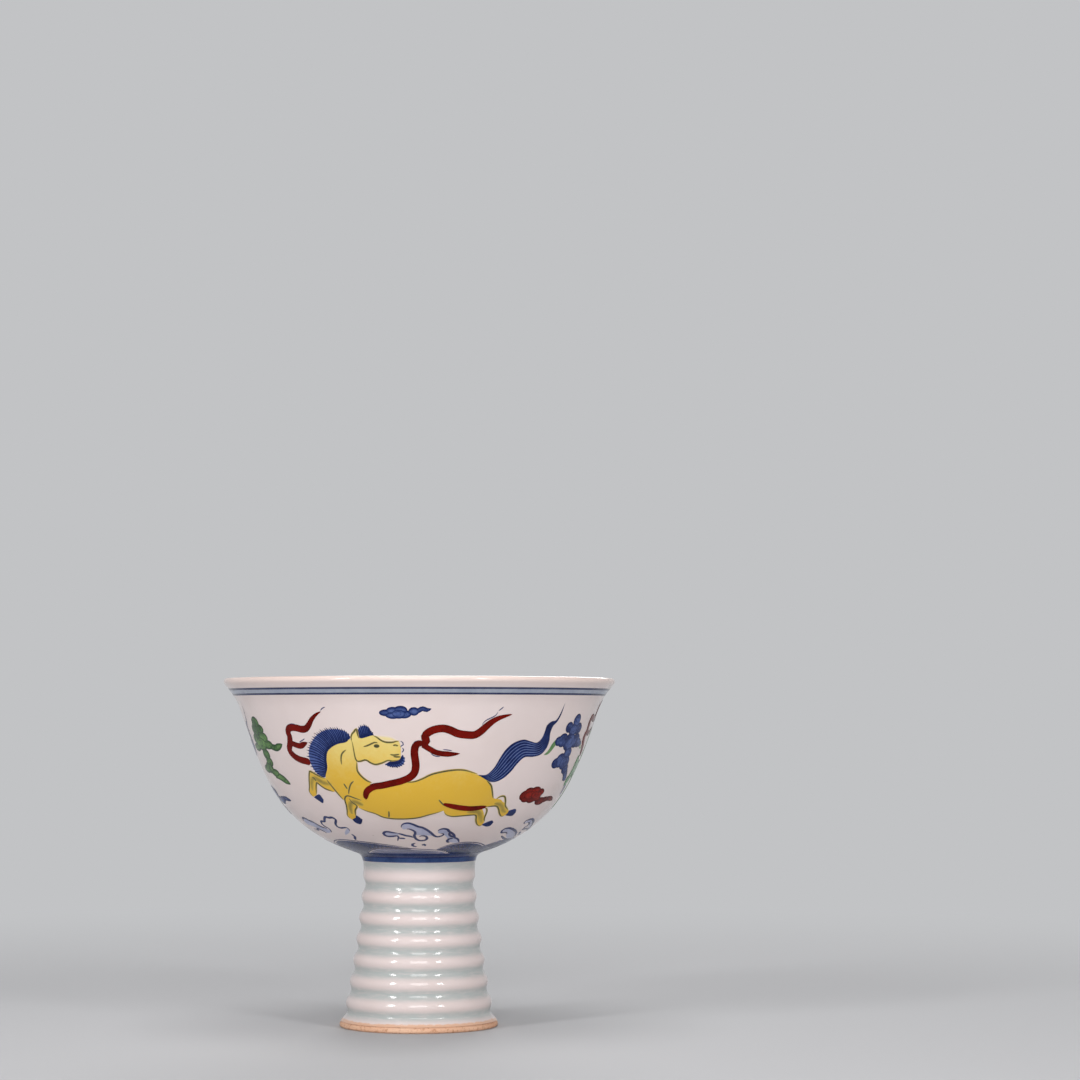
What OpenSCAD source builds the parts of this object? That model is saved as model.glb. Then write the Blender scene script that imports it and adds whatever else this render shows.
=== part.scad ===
// Porcelain stem cup: a thrown bowl with a flared lip, luted with slip to a hollow ribbed stem,
// each piece coated with glaze inside and out and left bare at the foot ring.
// Millimetres, +Z up, origin at the centre of the foot on the table.

/* [Overall] */
// Height from the table to the top of the lip
cup_h = 75; // [70:1:90]
// Diameter of the mouth, measured over the lip
mouth_d = 85; // [76:1:100]

/* [Bowl] */
// Thickness of the bowl's clay in the upper wall
wall_t = 1.6; // [1.2:0.1:2.4]
// Thickness of the bowl's clay where the belly leaves the neck
root_t = 3.2; // [2.4:0.1:4.4]
// Thickness of the round lip, glaze included
lip_t = 1.5; // [1.2:0.1:2]
// Height of the flared part of the wall, lip included
lip_h = 6.4; // [4.6:0.2:9]
// How far the lip flares out past the wall below it
lip_flare = 3.5; // [2.2:0.1:5]
// How far the flare keeps the lean of the wall and of the lip before it bends
lip_pull = 2.2; // [1.4:0.1:2.8]
// Lean of the lip above the horizontal, in degrees
lip_angle = 50; // [44:1:62]
// Lean of the wall below the flare above the horizontal, in degrees
wall_angle = 70.5; // [66:0.5:76]
// How far the belly keeps the lean of the wall before it rounds inwards
wall_pull = 15.7; // [12:0.1:18]
// Slope of the underside above the horizontal, in degrees
underside_angle = 18.5; // [10:0.5:26]
// How far the belly keeps the slope of the underside before it rounds upwards
underside_pull = 17; // [13:0.1:20]
// How far the fillet between neck and underside reaches out from the neck
neck_fillet_r = 2; // [1.4:0.1:4]
// How far the fillet between neck and underside rises above the joint
neck_fillet_h = 1.3; // [1.1:0.1:2.4]

/* [Stem] */
// Height of the top of the stem's clay above the table
stem_h = 36; // [30:0.5:40]
// Diameter of the stem where it is slimmest, glaze included
stem_top_d = 24; // [21:0.1:28]
// How far the neck flares out again below the bowl
neck_flare = 0.45; // [0:0.05:0.8]
// Diameter over the ribs, glaze included, carried down to the top of the foot
stem_base_d = 32.3; // [29:0.1:35]
// How late the stem flares out: 1 is a straight cone, more keeps the upper part slim
flare_power = 1.5; // [1:0.1:2.4]
// Number of ribs on the stem
rib_count = 7; // [4:1:9]
// Depth of the grooves between the ribs in the clay
groove_d = 0.9; // [0.5:0.1:1.3]
// Height of the stem's plain neck, from the crest of the top rib to the top of the stem
neck_h = 3.4; // [2:0.2:6]
// Diameter of the stem's hollow at its top
hollow_top_d = 17; // [13:0.5:18.5]

/* [Foot] */
// Diameter of the foot ring, bare clay
foot_d = 34.2; // [31:0.2:40]
// Height of the foot from the table to its groove below the lowest rib
foot_h = 3.2; // [2.6:0.1:5]
// Width of the ring that stands on the table
foot_ring_w = 3.4; // [2.4:0.1:4.4]
// Radius of the round edges of the foot ring
foot_round = 0.5; // [0.3:0.1:0.8]
// Height of the clay left bare outside the foot
bare_outer_h = 1.3; // [0.9:0.1:2]
// Height of the clay left bare inside the foot
bare_inner_h = 0.8; // [0.6:0.1:2]

/* [Joint and glaze] */
// Thickness of the slip that lutes the bowl to the stem
slip_t = 0.4; // [0.2:0.05:0.8]
// Thickness of the glaze on plain walls and on the ribs
glaze_t = 0.25; // [0.15:0.05:0.4]
// Thickness of the glaze pooled in the grooves of the stem
pool_t = 0.5; // [0.4:0.05:0.7]
// Thickness of the glaze at its wiped edge above the foot ring
wiped_t = 0.1; // [0.05:0.01:0.15]

/* [Hidden] */
$fn = 96;

clay_colour = [0.90, 0.74, 0.60];
slip_colour = [0.86, 0.80, 0.72];
glaze_colour = [0.93, 0.92, 0.90];
stem_glaze_colour = [0.86, 0.90, 0.87];

// Steps along each curve, from its length on the finished cup
belly_steps = 30;
lip_steps = 10;
fillet_steps = 8;
lip_arc_steps = 12;
well_steps = 12;
rib_steps = 12;
neck_steps = 4;
foot_steps = 10;
round_steps = 5;
hollow_steps = 24;

seat_z = stem_h + slip_t;
stem_top_r = stem_top_d / 2;
stem_base_r = stem_base_d / 2;
joint_r = stem_top_r + neck_flare;
seat_r = joint_r - glaze_t;
hollow_top_r = hollow_top_d / 2;
foot_r = foot_d / 2;
ring_inner_r = foot_r - foot_ring_w;
rib_pitch = (stem_h - neck_h - foot_h) / (rib_count - 0.5);
top_crest_z = stem_h - neck_h;
skin_groove_d = groove_d + glaze_t - pool_t;
neck_rise = seat_z - top_crest_z;
neck_power = 3;

// A direction in the profile plane, from its angle above the horizontal
function aim(angle) = [cos(angle), sin(angle)];

// A point on the cubic curve through a and d with the handles b and c
function cubic_at(a, b, c, d, t) = pow(1 - t, 3) * a + 3 * pow(1 - t, 2) * t * b
    + 3 * (1 - t) * t * t * c + pow(t, 3) * d;

// The cubic curve as points, without its first point, so that curves can follow each other
function cubic(a, b, c, d, steps) = [for (i = [1:steps]) cubic_at(a, b, c, d, i / steps)];

// The curve from a to c that leaves and arrives along the lines to b, without its first point
function bend(a, b, c, steps) = cubic(a, a + (b - a) * 2 / 3, c + (b - c) * 2 / 3, c, steps);

// A round edge about centre, from one angle to another
function arc(centre, r, from, to, steps) =
    [for (i = [0:steps]) centre + r * aim(from + (to - from) * i / steps)];

function reversed(path) = [for (i = [len(path) - 1:-1:0]) path[i]];
function tail(path) = [for (i = [1:len(path) - 1]) path[i]];

// The unit direction along a path at its point i
function along(path, i) =
    let (step = path[min(i + 1, len(path) - 1)] - path[max(i - 1, 0)]) step / norm(step);

// The point where two lines cross, each given by a point and an angle
function crossing(p, p_angle, q, q_angle) =
    let (across = [-sin(q_angle), cos(q_angle)])
    p + aim(p_angle) * ((q - p) * across) / (aim(p_angle) * across);

// A path moved sideways to its left, by an amount listed for each point
function beside(path, amounts) =
    [for (i = [0:len(path) - 1]) let (d = along(path, i)) path[i] + amounts[i] * [-d[1], d[0]]];

function each_point(path, amount) = [for (p = path) amount];

// A share from 0 to 1 that starts and ends level
function eased(t) = t * t * (3 - 2 * t);

// The bowl's finished outer curve: neck fillet, belly and flared lip
neck_start = [joint_r, seat_z];
neck_angle = atan2(neck_rise, neck_flare * neck_power);
underside_start = neck_start + [neck_fillet_r, neck_fillet_h];
neck_corner = crossing(neck_start, neck_angle, underside_start, underside_angle);
lip_base = [mouth_d / 2 - lip_flare, cup_h - lip_h];
lip_centre = [(mouth_d - lip_t) / 2, cup_h - lip_t / 2];
lip_end = lip_centre + aim(lip_angle - 90) * lip_t / 2;

neck_curve = concat([neck_start], bend(neck_start, neck_corner, underside_start, fillet_steps));
belly_curve = concat([underside_start], cubic(underside_start,
    underside_start + aim(underside_angle) * underside_pull,
    lip_base - aim(wall_angle) * wall_pull, lip_base, belly_steps));
lip_curve = cubic(lip_base, lip_base + aim(wall_angle) * lip_pull,
    lip_end - aim(lip_angle) * lip_pull, lip_end, lip_steps);
wall_curve = concat(belly_curve, lip_curve);

// The bowl's clay thins from the root of the belly to the wall, and again to the lip
belly_clay_t = [for (i = [0:belly_steps]) root_t + (wall_t - root_t) * eased(i / belly_steps)];
lip_clay_t = [for (i = [1:lip_steps])
    wall_t + (lip_t - 2 * glaze_t - wall_t) * eased(i / lip_steps)];
clay_t = concat(belly_clay_t, lip_clay_t);

// The four surfaces of the bowl's wall, from the outer glaze to the inner glaze
outer_clay = concat([[seat_r, seat_z]], tail(beside(neck_curve, each_point(neck_curve, glaze_t))),
    tail(beside(wall_curve, each_point(wall_curve, glaze_t))));
outer_skin = concat(neck_curve, tail(wall_curve));
inner_clay = beside(wall_curve, clay_t + each_point(wall_curve, glaze_t));
inner_skin = beside(wall_curve, clay_t + each_point(wall_curve, 2 * glaze_t));

// The well runs on from the wall to the axis, where it lies level
function well(wall_start) =
    let (corner = wall_start - aim(underside_angle) * wall_start[0] / 2 / cos(underside_angle))
    bend(wall_start, corner, [0, corner[1]], well_steps);

// Half of the round lip, from the outer or the inner wall to its apex
function outer_lip(r) = arc(lip_centre, r, lip_angle - 90, lip_angle, lip_arc_steps);
function inner_lip(r) = arc(lip_centre, r, lip_angle + 90, lip_angle, lip_arc_steps);
skin_lip_r = lip_t / 2;
clay_lip_r = lip_t / 2 - glaze_t;

// Distance of the stem's flare from its slim top, as a share, at a height
function flare(z, top, bottom) = pow(max(0, (top - z) / (top - bottom)), flare_power);

// How deep a groove is at a height, from 0 on a rib's crest and on the neck to 1
function groove(z) = z > top_crest_z ? 0 : (1 + cos(360 * (z - foot_h) / rib_pitch)) / 2;

// How far the neck has flared out at a height, from 0 at the top rib's crest to the joint
function neck_swell(z) = neck_flare * pow(max(0, (z - top_crest_z) / neck_rise), neck_power);

function crest_r(z) = stem_top_r + (stem_base_r - stem_top_r) * flare(z, stem_h, foot_h)
    + neck_swell(z);
function stem_skin_r(z) = crest_r(z) - skin_groove_d * groove(z);
function stem_clay_r(z) = crest_r(z) - glaze_t - groove_d * groove(z);
function hollow_r(z) = hollow_top_r + (ring_inner_r - hollow_top_r) * flare(z, stem_h, 0);

// The outside of the stem's clay, from the foot's groove up to its top, and the glaze over it
rib_heights = [for (i = [0:(rib_count - 0.5) * rib_steps]) foot_h + i * rib_pitch / rib_steps];
neck_heights = [for (i = [1:neck_steps]) top_crest_z + i * neck_h / neck_steps];
stem_heights = concat(rib_heights, neck_heights);
stem_wall = [for (z = stem_heights) [stem_clay_r(z), z]];
glazed_heights = concat(stem_heights, [seat_z]);

// The foot flares from its groove to the widest point of the ring, where its glaze thins out
foot_start = [stem_clay_r(foot_h), foot_h];
foot_end = [foot_r, foot_round];
foot_drop = [0, (foot_h - foot_round) / 3];
foot_clay = concat([foot_start],
    cubic(foot_start, foot_start - foot_drop, foot_end + foot_drop, foot_end, foot_steps));
foot_skin = beside(foot_clay, [for (i = [0:foot_steps])
    pool_t + (wiped_t - pool_t) * eased(i / foot_steps)]);

// The hollow's clay wall and the face of its lining, from the table up to the joint
hollow_wall = [for (i = [0:hollow_steps]) let (z = stem_h * i / hollow_steps) [hollow_r(z), z]];
hollow_skin = beside(hollow_wall, each_point(hollow_wall, glaze_t));
lining_top_z = seat_z - glaze_t;

module turned(profile) {
    rotate_extrude() polygon(profile);
}

// Keeps what lies above a height of a profile in the revolved plane
module above(z) {
    intersection() {
        children();
        translate([0, z]) square([mouth_d, cup_h]);
    }
}

// Thrown and trimmed bowl, with a flat seat for the stem
module bowl_body() {
    color(clay_colour) turned(concat([[0, seat_z]], outer_clay, outer_lip(clay_lip_r),
        reversed(inner_lip(clay_lip_r)), reversed(inner_clay), well(inner_clay[0])));
}

// Thrown hollow stem with its ribs and the foot ring
module stem_body() {
    ring_outer = arc([foot_r - foot_round, foot_round], foot_round, 0, -90, round_steps);
    ring_inner = arc([hollow_r(foot_round) + foot_round, foot_round], foot_round, -90, -180,
        round_steps);
    color(clay_colour) turned(concat(reversed(stem_wall), tail(foot_clay), tail(ring_outer),
        ring_inner, [for (p = hollow_wall) if (p[1] > foot_round) p]));
}

// Ring of slip between the top of the stem and the seat of the bowl
module luting_slip() {
    color(slip_colour) turned([[hollow_top_r, stem_h], [stem_clay_r(stem_h), stem_h],
        [seat_r, seat_z], [hollow_top_r, seat_z]]);
}

// Glaze over the outside of the bowl, from the joint to the apex of the lip
module bowl_outer_glaze() {
    color(glaze_colour) turned(concat(outer_skin, outer_lip(skin_lip_r),
        reversed(outer_lip(clay_lip_r)), reversed(outer_clay)));
}

// Glaze over the inside of the bowl, from the apex of the lip to the middle of the well
module bowl_inner_glaze() {
    color(glaze_colour) turned(concat(reversed(well(inner_clay[0])), inner_clay,
        inner_lip(clay_lip_r), reversed(inner_lip(skin_lip_r)), reversed(inner_skin),
        well(inner_skin[0])));
}

// Glaze over the neck, ribs and foot flare, pooled in the grooves and wiped off the foot ring
module stem_outer_glaze() {
    skin = reversed([for (z = glazed_heights) [stem_skin_r(z), z]]);
    clay = concat([[seat_r, seat_z]], reversed(stem_wall));
    color(stem_glaze_colour) rotate_extrude() above(bare_outer_h) polygon(concat(
        skin, tail(foot_skin), reversed(foot_clay), tail(reversed(clay))));
}

// Glaze that lines the hollow of the stem and the underside of the bowl above it
module stem_inner_glaze() {
    color(stem_glaze_colour) rotate_extrude() above(bare_inner_h) polygon(concat(
        hollow_wall, [[hollow_top_r, seat_z], [0, seat_z], [0, lining_top_z],
        [hollow_top_r - glaze_t, lining_top_z]], reversed(hollow_skin)));
}

bowl_body();
stem_body();
luting_slip();
bowl_outer_glaze();
bowl_inner_glaze();
stem_outer_glaze();
stem_inner_glaze();
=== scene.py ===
"""Looks of a porcelain stem cup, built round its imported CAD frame.

The cup is a bowl on a hollow ribbed stem. Its glaze coats and bare foot are surfaces of revolution
worked out from the turned profile, and its painting is laid on the bowl's skin as thin brush marks:
underglaze blue, and yellow, green and red enamels. Sizes are in millimetres, places on the bowl are
degrees round it (0 faces the viewer, positive to the right) and millimetres up its wall from the
joint, and every mesh is put out in metres in the frame of the CAD model.
"""

import logging
import math
from dataclasses import dataclass, field
from enum import Enum

import bpy
import numpy as np
from mathutils import Matrix, Vector


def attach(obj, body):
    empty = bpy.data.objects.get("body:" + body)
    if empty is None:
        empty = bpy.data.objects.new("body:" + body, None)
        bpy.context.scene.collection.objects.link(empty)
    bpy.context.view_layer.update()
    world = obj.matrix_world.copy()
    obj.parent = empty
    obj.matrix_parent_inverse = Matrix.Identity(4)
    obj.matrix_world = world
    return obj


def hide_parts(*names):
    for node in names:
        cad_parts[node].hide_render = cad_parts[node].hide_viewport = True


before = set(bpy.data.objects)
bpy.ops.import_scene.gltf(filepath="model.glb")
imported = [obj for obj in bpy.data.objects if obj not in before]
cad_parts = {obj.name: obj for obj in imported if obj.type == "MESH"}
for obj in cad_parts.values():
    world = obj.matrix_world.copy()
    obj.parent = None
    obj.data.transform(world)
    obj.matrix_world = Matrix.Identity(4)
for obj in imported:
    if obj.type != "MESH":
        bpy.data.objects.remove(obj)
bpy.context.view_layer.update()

LOG = logging.getLogger("stem_cup")
MM = 0.001
ON_AXIS = 1e-6  # millimetres from the axis within which a point is on it
BUMP_DEPTH = 0.0004  # metres that a finish's bump stands for
SPAN_SAMPLES = 24  # samples in each span of a smooth path

Array = np.ndarray
Points = tuple[tuple[float, float], ...]
Colour = tuple[float, float, float, float]
Thing = bpy.types.Object
Tree = bpy.types.NodeTree
Node = bpy.types.Node
Socket = bpy.types.NodeSocket


def shade(red: int, green: int, blue: int) -> Colour:
    """A colour as the renderer takes it, with the screen's sRGB curve undone.

    Args:
        red, green, blue: the screen values, from 0 to 255.

    Returns:
        The linear colour, opaque.
    """
    screen = np.array([red, green, blue]) / 255
    linear = np.where(screen <= 0.04045, screen / 12.92, ((screen + 0.055) / 1.055) ** 2.4)
    return (*(float(v) for v in linear), 1.0)


def eased(t: Array) -> Array:
    """A share from 0 to 1 that starts and ends level."""
    return t * t * (3 - 2 * t)


def aim(angle: float) -> Array:
    """A direction in the profile plane, from its angle above the horizontal in degrees."""
    return np.array([math.cos(math.radians(angle)), math.sin(math.radians(angle))])


def run(path: Array) -> Array:
    """How far along a path each of its points lies, from 0."""
    return np.r_[0, np.cumsum(np.hypot(*np.diff(path, axis=0).T))]


def heading(path: Array) -> Array:
    """The unit direction in which a path runs at each of its points."""
    along = np.gradient(path, axis=0)
    return along / np.linalg.norm(along, axis=1)[:, None]


def beside(path: Array, amount: Array | float) -> Array:
    """A path moved to its left by an amount at each point."""
    along = heading(path)
    return path + np.stack([-along[:, 1], along[:, 0]], 1) * np.reshape(amount, (-1, 1))


def cubic(a: Array, b: Array, c: Array, d: Array, count: int) -> Array:
    """The cubic curve from a to d with the handles b and c, as count points."""
    t = np.linspace(0, 1, count)[:, None]
    return (1 - t) ** 3 * a + 3 * (1 - t) ** 2 * t * b + 3 * (1 - t) * t**2 * c + t**3 * d


def rounded(start: Array, corner: Array, end: Array, count: int) -> Array:
    """The parabola from start to end that runs tangent to both lines to a corner, as count points."""
    return cubic(start, start + (corner - start) * 2 / 3, end + (corner - end) * 2 / 3, end, count)


def smooth_path(points: Points, count: int) -> Array:
    """A smooth curve through points, sampled evenly along its length.

    Each span is a Catmull-Rom cubic whose ends lean along the line between the neighbours.

    Args:
        points: the points that the curve passes through.
        count: how many samples to give back.

    Returns:
        An array of count rows of two coordinates.
    """
    knots = np.asarray(points, float)
    knots = np.vstack([2 * knots[0] - knots[1], knots, 2 * knots[-1] - knots[-2]])
    a, b, c, d = (knots[i : len(knots) - 3 + i, None, :] for i in range(4))
    t = np.linspace(0, 1, SPAN_SAMPLES, endpoint=False)[None, :, None]
    spans = 0.5 * (
        2 * b + (c - a) * t + (2 * a - 5 * b + 4 * c - d) * t**2 + (3 * b - a - 3 * c + d) * t**3
    )
    dense = np.vstack([spans.reshape(-1, 2), knots[-2]])
    length = run(dense)
    at = np.linspace(0, length[-1], count)
    return np.stack([np.interp(at, length, dense[:, i]) for i in range(2)], 1)


@dataclass(frozen=True)
class CupForm:
    """The turned profile of the cup, in millimetres, with the driving sizes of the CAD source.

    Its curves and closed sections are rows of radius and height.
    """

    cup_h: float = 75.0
    mouth_d: float = 85.0
    wall_t: float = 1.6
    root_t: float = 3.2
    lip_t: float = 1.5
    lip_h: float = 6.4
    lip_flare: float = 3.5
    lip_pull: float = 2.2
    lip_angle: float = 50.0
    wall_angle: float = 70.5
    wall_pull: float = 15.7
    underside_angle: float = 18.5
    underside_pull: float = 17.0
    neck_fillet_r: float = 2.0
    neck_fillet_h: float = 1.3
    stem_h: float = 36.0
    stem_top_r: float = 12.0
    stem_base_r: float = 16.15
    neck_flare: float = 0.45
    neck_power: float = 3.0
    flare_power: float = 1.5
    rib_count: int = 7
    groove_d: float = 0.9
    neck_h: float = 3.4
    hollow_top_r: float = 8.5
    foot_r: float = 17.1
    foot_h: float = 3.2
    foot_ring_w: float = 3.4
    foot_round: float = 0.5
    bare_outer_h: float = 1.3
    bare_inner_h: float = 0.8
    slip_t: float = 0.4
    glaze_t: float = 0.25
    pool_t: float = 0.5
    wiped_t: float = 0.1
    lining_cut: float = 0.6
    lining_clear: float = 0.7
    belly_steps: int = 70
    lip_steps: int = 18
    side_steps: int = 190
    foot_steps: int = 28
    well_steps: int = 24
    lip_skin_steps: int = 36
    lip_clay_steps: int = 14
    ring_steps: int = 10
    hollow_steps: int = 60

    @property
    def seat_z(self) -> float:
        """Height of the bowl's seat, where the bowl meets the stem."""
        return self.stem_h + self.slip_t

    @property
    def top_crest_z(self) -> float:
        """Height of the crest of the top rib."""
        return self.stem_h - self.neck_h

    @property
    def joint_r(self) -> float:
        """Radius of the glazed neck at the joint."""
        return self.stem_top_r + self.neck_flare

    @property
    def lip_centre(self) -> Array:
        """Centre of the round lip in the profile plane."""
        return np.array([(self.mouth_d - self.lip_t) / 2, self.cup_h - self.lip_t / 2])

    def neck_curve(self, count: int = 14) -> Array:
        """The fillet between neck and underside: a parabola tangent to both.

        Args:
            count: how many points.

        Returns:
            The points, from the joint outwards.
        """
        start = np.array([self.joint_r, self.seat_z])
        end = start + [self.neck_fillet_r, self.neck_fillet_h]
        rise = self.seat_z - self.top_crest_z
        lean = aim(math.degrees(math.atan2(rise, self.neck_flare * self.neck_power)))
        across = aim(self.underside_angle + 90)
        corner = start + lean * ((end - start) @ across) / (lean @ across)
        return rounded(start, corner, end, count)

    def belly_curve(self) -> Array:
        """The belly: a cubic from the end of the neck fillet to the foot of the flared lip.

        Returns:
            The points, upwards.
        """
        start = self.neck_curve()[-1]
        end = np.array([self.mouth_d / 2 - self.lip_flare, self.cup_h - self.lip_h])
        low, high = aim(self.underside_angle), aim(self.wall_angle)
        return cubic(start, start + low * self.underside_pull, end - high * self.wall_pull, end, self.belly_steps)

    def lip_curve(self) -> Array:
        """The flare of the lip: a cubic from the belly to the round edge.

        Returns:
            The points, upwards.
        """
        start = self.belly_curve()[-1]
        end = self.lip_centre + aim(self.lip_angle - 90) * self.lip_t / 2
        low, high = aim(self.wall_angle), aim(self.lip_angle)
        return cubic(start, start + low * self.lip_pull, end - high * self.lip_pull, end, self.lip_steps)

    def round_lip(self, radius: float, start: float, end: float, count: int = 20) -> Array:
        """An arc of the lip about its centre, between two angles in degrees."""
        angle = np.radians(np.linspace(start, end, count))
        return self.lip_centre + radius * np.stack([np.cos(angle), np.sin(angle)], 1)

    def wall_curve(self) -> Array:
        """Belly and flared lip as one path."""
        return np.vstack([self.belly_curve(), self.lip_curve()[1:]])

    def outer_skin(self) -> Array:
        """The bowl's glazed outside from the joint to the top of the lip."""
        arc = self.round_lip(self.lip_t / 2, self.lip_angle - 90, 90)
        return np.vstack([self.neck_curve(), self.wall_curve()[1:], arc[1:]])

    def inner_side(self, coats: int) -> Array:
        """The inside of the bowl.

        The clay thins from root_t to wall_t up the belly and on to the lip, and the well runs on
        from the wall as a parabola that lies level on the axis.

        Args:
            coats: 1 for the clay's side of the inner glaze, 2 for its skin.

        Returns:
            The points from the axis to the flare.
        """
        belly, lip = len(self.belly_curve()), len(self.lip_curve()) - 1
        up, out = eased(np.linspace(0, 1, belly)), eased(np.linspace(0, 1, lip + 1)[1:])
        lip_clay = self.lip_t - 2 * self.glaze_t
        belly_clay = self.root_t + (self.wall_t - self.root_t) * up
        clay = np.r_[belly_clay, self.wall_t + (lip_clay - self.wall_t) * out]
        wall = beside(self.wall_curve(), clay + coats * self.glaze_t)
        start = wall[0]
        halfway = start[0] / 2 / math.cos(math.radians(self.underside_angle))
        corner = start - aim(self.underside_angle) * halfway
        well = rounded(start, corner, np.array([0.0, corner[1]]), self.well_steps)
        return np.vstack([well[::-1], wall[1:]])

    def bowl_coat(self) -> Array:
        """The bowl's glaze: outside, round lip and inside, then the clay's side.

        Returns:
            The closed section.
        """
        skin_r, clay_r = self.lip_t / 2, self.lip_t / 2 - self.glaze_t
        low, high = self.lip_angle - 90, self.lip_angle + 90
        outer = np.vstack([self.neck_curve(), self.wall_curve()[1:]])
        skin = self.round_lip(skin_r, low, high, self.lip_skin_steps)
        clay = self.round_lip(clay_r, high, low, self.lip_clay_steps)
        neck, wall = (beside(path, self.glaze_t) for path in (self.neck_curve(), self.wall_curve()))
        under = np.vstack([neck, wall[1:]])
        under[0] = [self.joint_r - self.glaze_t, self.seat_z]
        inside = self.inner_side(2)[::-1]
        return np.vstack([outer, skin[1:-1], inside, self.inner_side(1), clay[1:-1], under[::-1]])

    def flare(self, z: Array, top: float, bottom: float) -> Array:
        """How far the stem has flared out from its slim top at heights z, from 0 to 1."""
        return np.maximum(0, (top - z) / (top - bottom)) ** self.flare_power

    def groove(self, z: Array) -> Array:
        """How deep a groove is at heights z: a cosine from 0 on each crest to 1, and 0 on the neck."""
        pitch = (self.top_crest_z - self.foot_h) / (self.rib_count - 0.5)
        return np.where(z > self.top_crest_z, 0.0, (1 + np.cos(2 * np.pi * (z - self.foot_h) / pitch)) / 2)

    def crest_r(self, z: Array) -> Array:
        """Radius over the ribs' crests: the slim top, the flare to the foot and the swell of the neck.

        Args:
            z: the heights.

        Returns:
            The radius at each height, glaze included.
        """
        rise = np.maximum(0, (z - self.top_crest_z) / (self.seat_z - self.top_crest_z))
        spread = (self.stem_base_r - self.stem_top_r) * self.flare(z, self.stem_h, self.foot_h)
        return self.stem_top_r + spread + self.neck_flare * rise**self.neck_power

    def stem_side(self, top: float, depth: float, cover: float) -> Array:
        """The stem's outside from a height to the foot, with grooves of a depth under a cover of glaze."""
        z = np.linspace(top, self.foot_h, self.side_steps)
        return np.stack([self.crest_r(z) - cover - depth * self.groove(z), z], 1)

    def foot_clay(self) -> Array:
        """The foot's clay: a cubic that leaves its groove and meets the ring upright.

        Returns:
            The points from the groove to the widest point of the ring.
        """
        start = self.stem_side(self.stem_h, self.groove_d, self.glaze_t)[-1]
        end = np.array([self.foot_r, self.foot_round])
        drop = np.array([0, (self.foot_h - self.foot_round) / 3])
        return cubic(start, start - drop, end + drop, end, self.foot_steps)

    def foot_skin(self) -> Array:
        """The glaze over the foot, thinning to its wiped edge.

        Returns:
            The points from the groove down.
        """
        clay = self.foot_clay()
        cover = self.pool_t + (self.wiped_t - self.pool_t) * eased(np.linspace(0, 1, len(clay)))
        return beside(clay, cover)

    def stem_coat(self) -> Array:
        """The stem's outer glaze, cut off level above the bare foot.

        Returns:
            The closed section.
        """
        skin = self.stem_side(self.seat_z, self.groove_d + self.glaze_t - self.pool_t, 0)
        clay = self.stem_side(self.seat_z, self.groove_d, self.glaze_t)
        low_skin, low_clay = (p[p[:, 1] > self.bare_outer_h] for p in (self.foot_skin(), self.foot_clay()))
        return np.vstack([skin, low_skin[1:], low_clay[:0:-1], clay[::-1]])

    def hollow_side(self, low: float) -> Array:
        """The clay's side of the stem's hollow, from a height up to the stem's top.

        Args:
            low: the height to start from.

        Returns:
            The points, upwards.
        """
        z = np.linspace(low, self.stem_h, self.hollow_steps)
        spread = (self.foot_r - self.foot_ring_w - self.hollow_top_r) * self.flare(z, self.stem_h, 0)
        return np.stack([self.hollow_top_r + spread, z], 1)

    def ring_quarter(self, r: float, side: int) -> Array:
        """A quarter of the foot ring's round edge, below a point on its side.

        Args:
            r: the radius of that point.
            side: 1 for the outer edge, going down, and -1 for the inner edge, going up.

        Returns:
            The points.
        """
        start, end = (0, -90) if side > 0 else (-90, -180)
        turn = np.radians(np.linspace(start, end, self.ring_steps))
        return np.array([r, 0]) + self.foot_round * np.stack([np.cos(turn) - side, np.sin(turn) + 1], 1)

    def stem_clay(self) -> Array:
        """The stem's clay with its round foot ring.

        Returns:
            The closed section.
        """
        side = self.stem_side(self.stem_h, self.groove_d, self.glaze_t)
        hollow = self.hollow_side(self.foot_round)
        outer, inner = self.ring_quarter(self.foot_r, 1), self.ring_quarter(hollow[0, 0], -1)
        return np.vstack([side, self.foot_clay()[1:], outer[1:], inner, hollow[1:]])

    def hollow_coat(self) -> Array:
        """The glaze that lines the hollow and the bowl's seat above it, with a corner cut between them.

        Returns:
            The closed section.
        """
        wall = self.hollow_side(self.bare_inner_h)
        skin = beside(wall, self.glaze_t)
        top, side = self.seat_z - self.glaze_t, self.hollow_top_r - self.glaze_t
        seat = np.array([[self.hollow_top_r, self.seat_z], [0, self.seat_z], [0, top]])
        corner = np.array([[side - self.lining_cut, top], [side, top - self.lining_cut]])
        return np.vstack([wall, seat, corner, skin[skin[:, 1] < top - self.lining_clear][::-1]])


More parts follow.
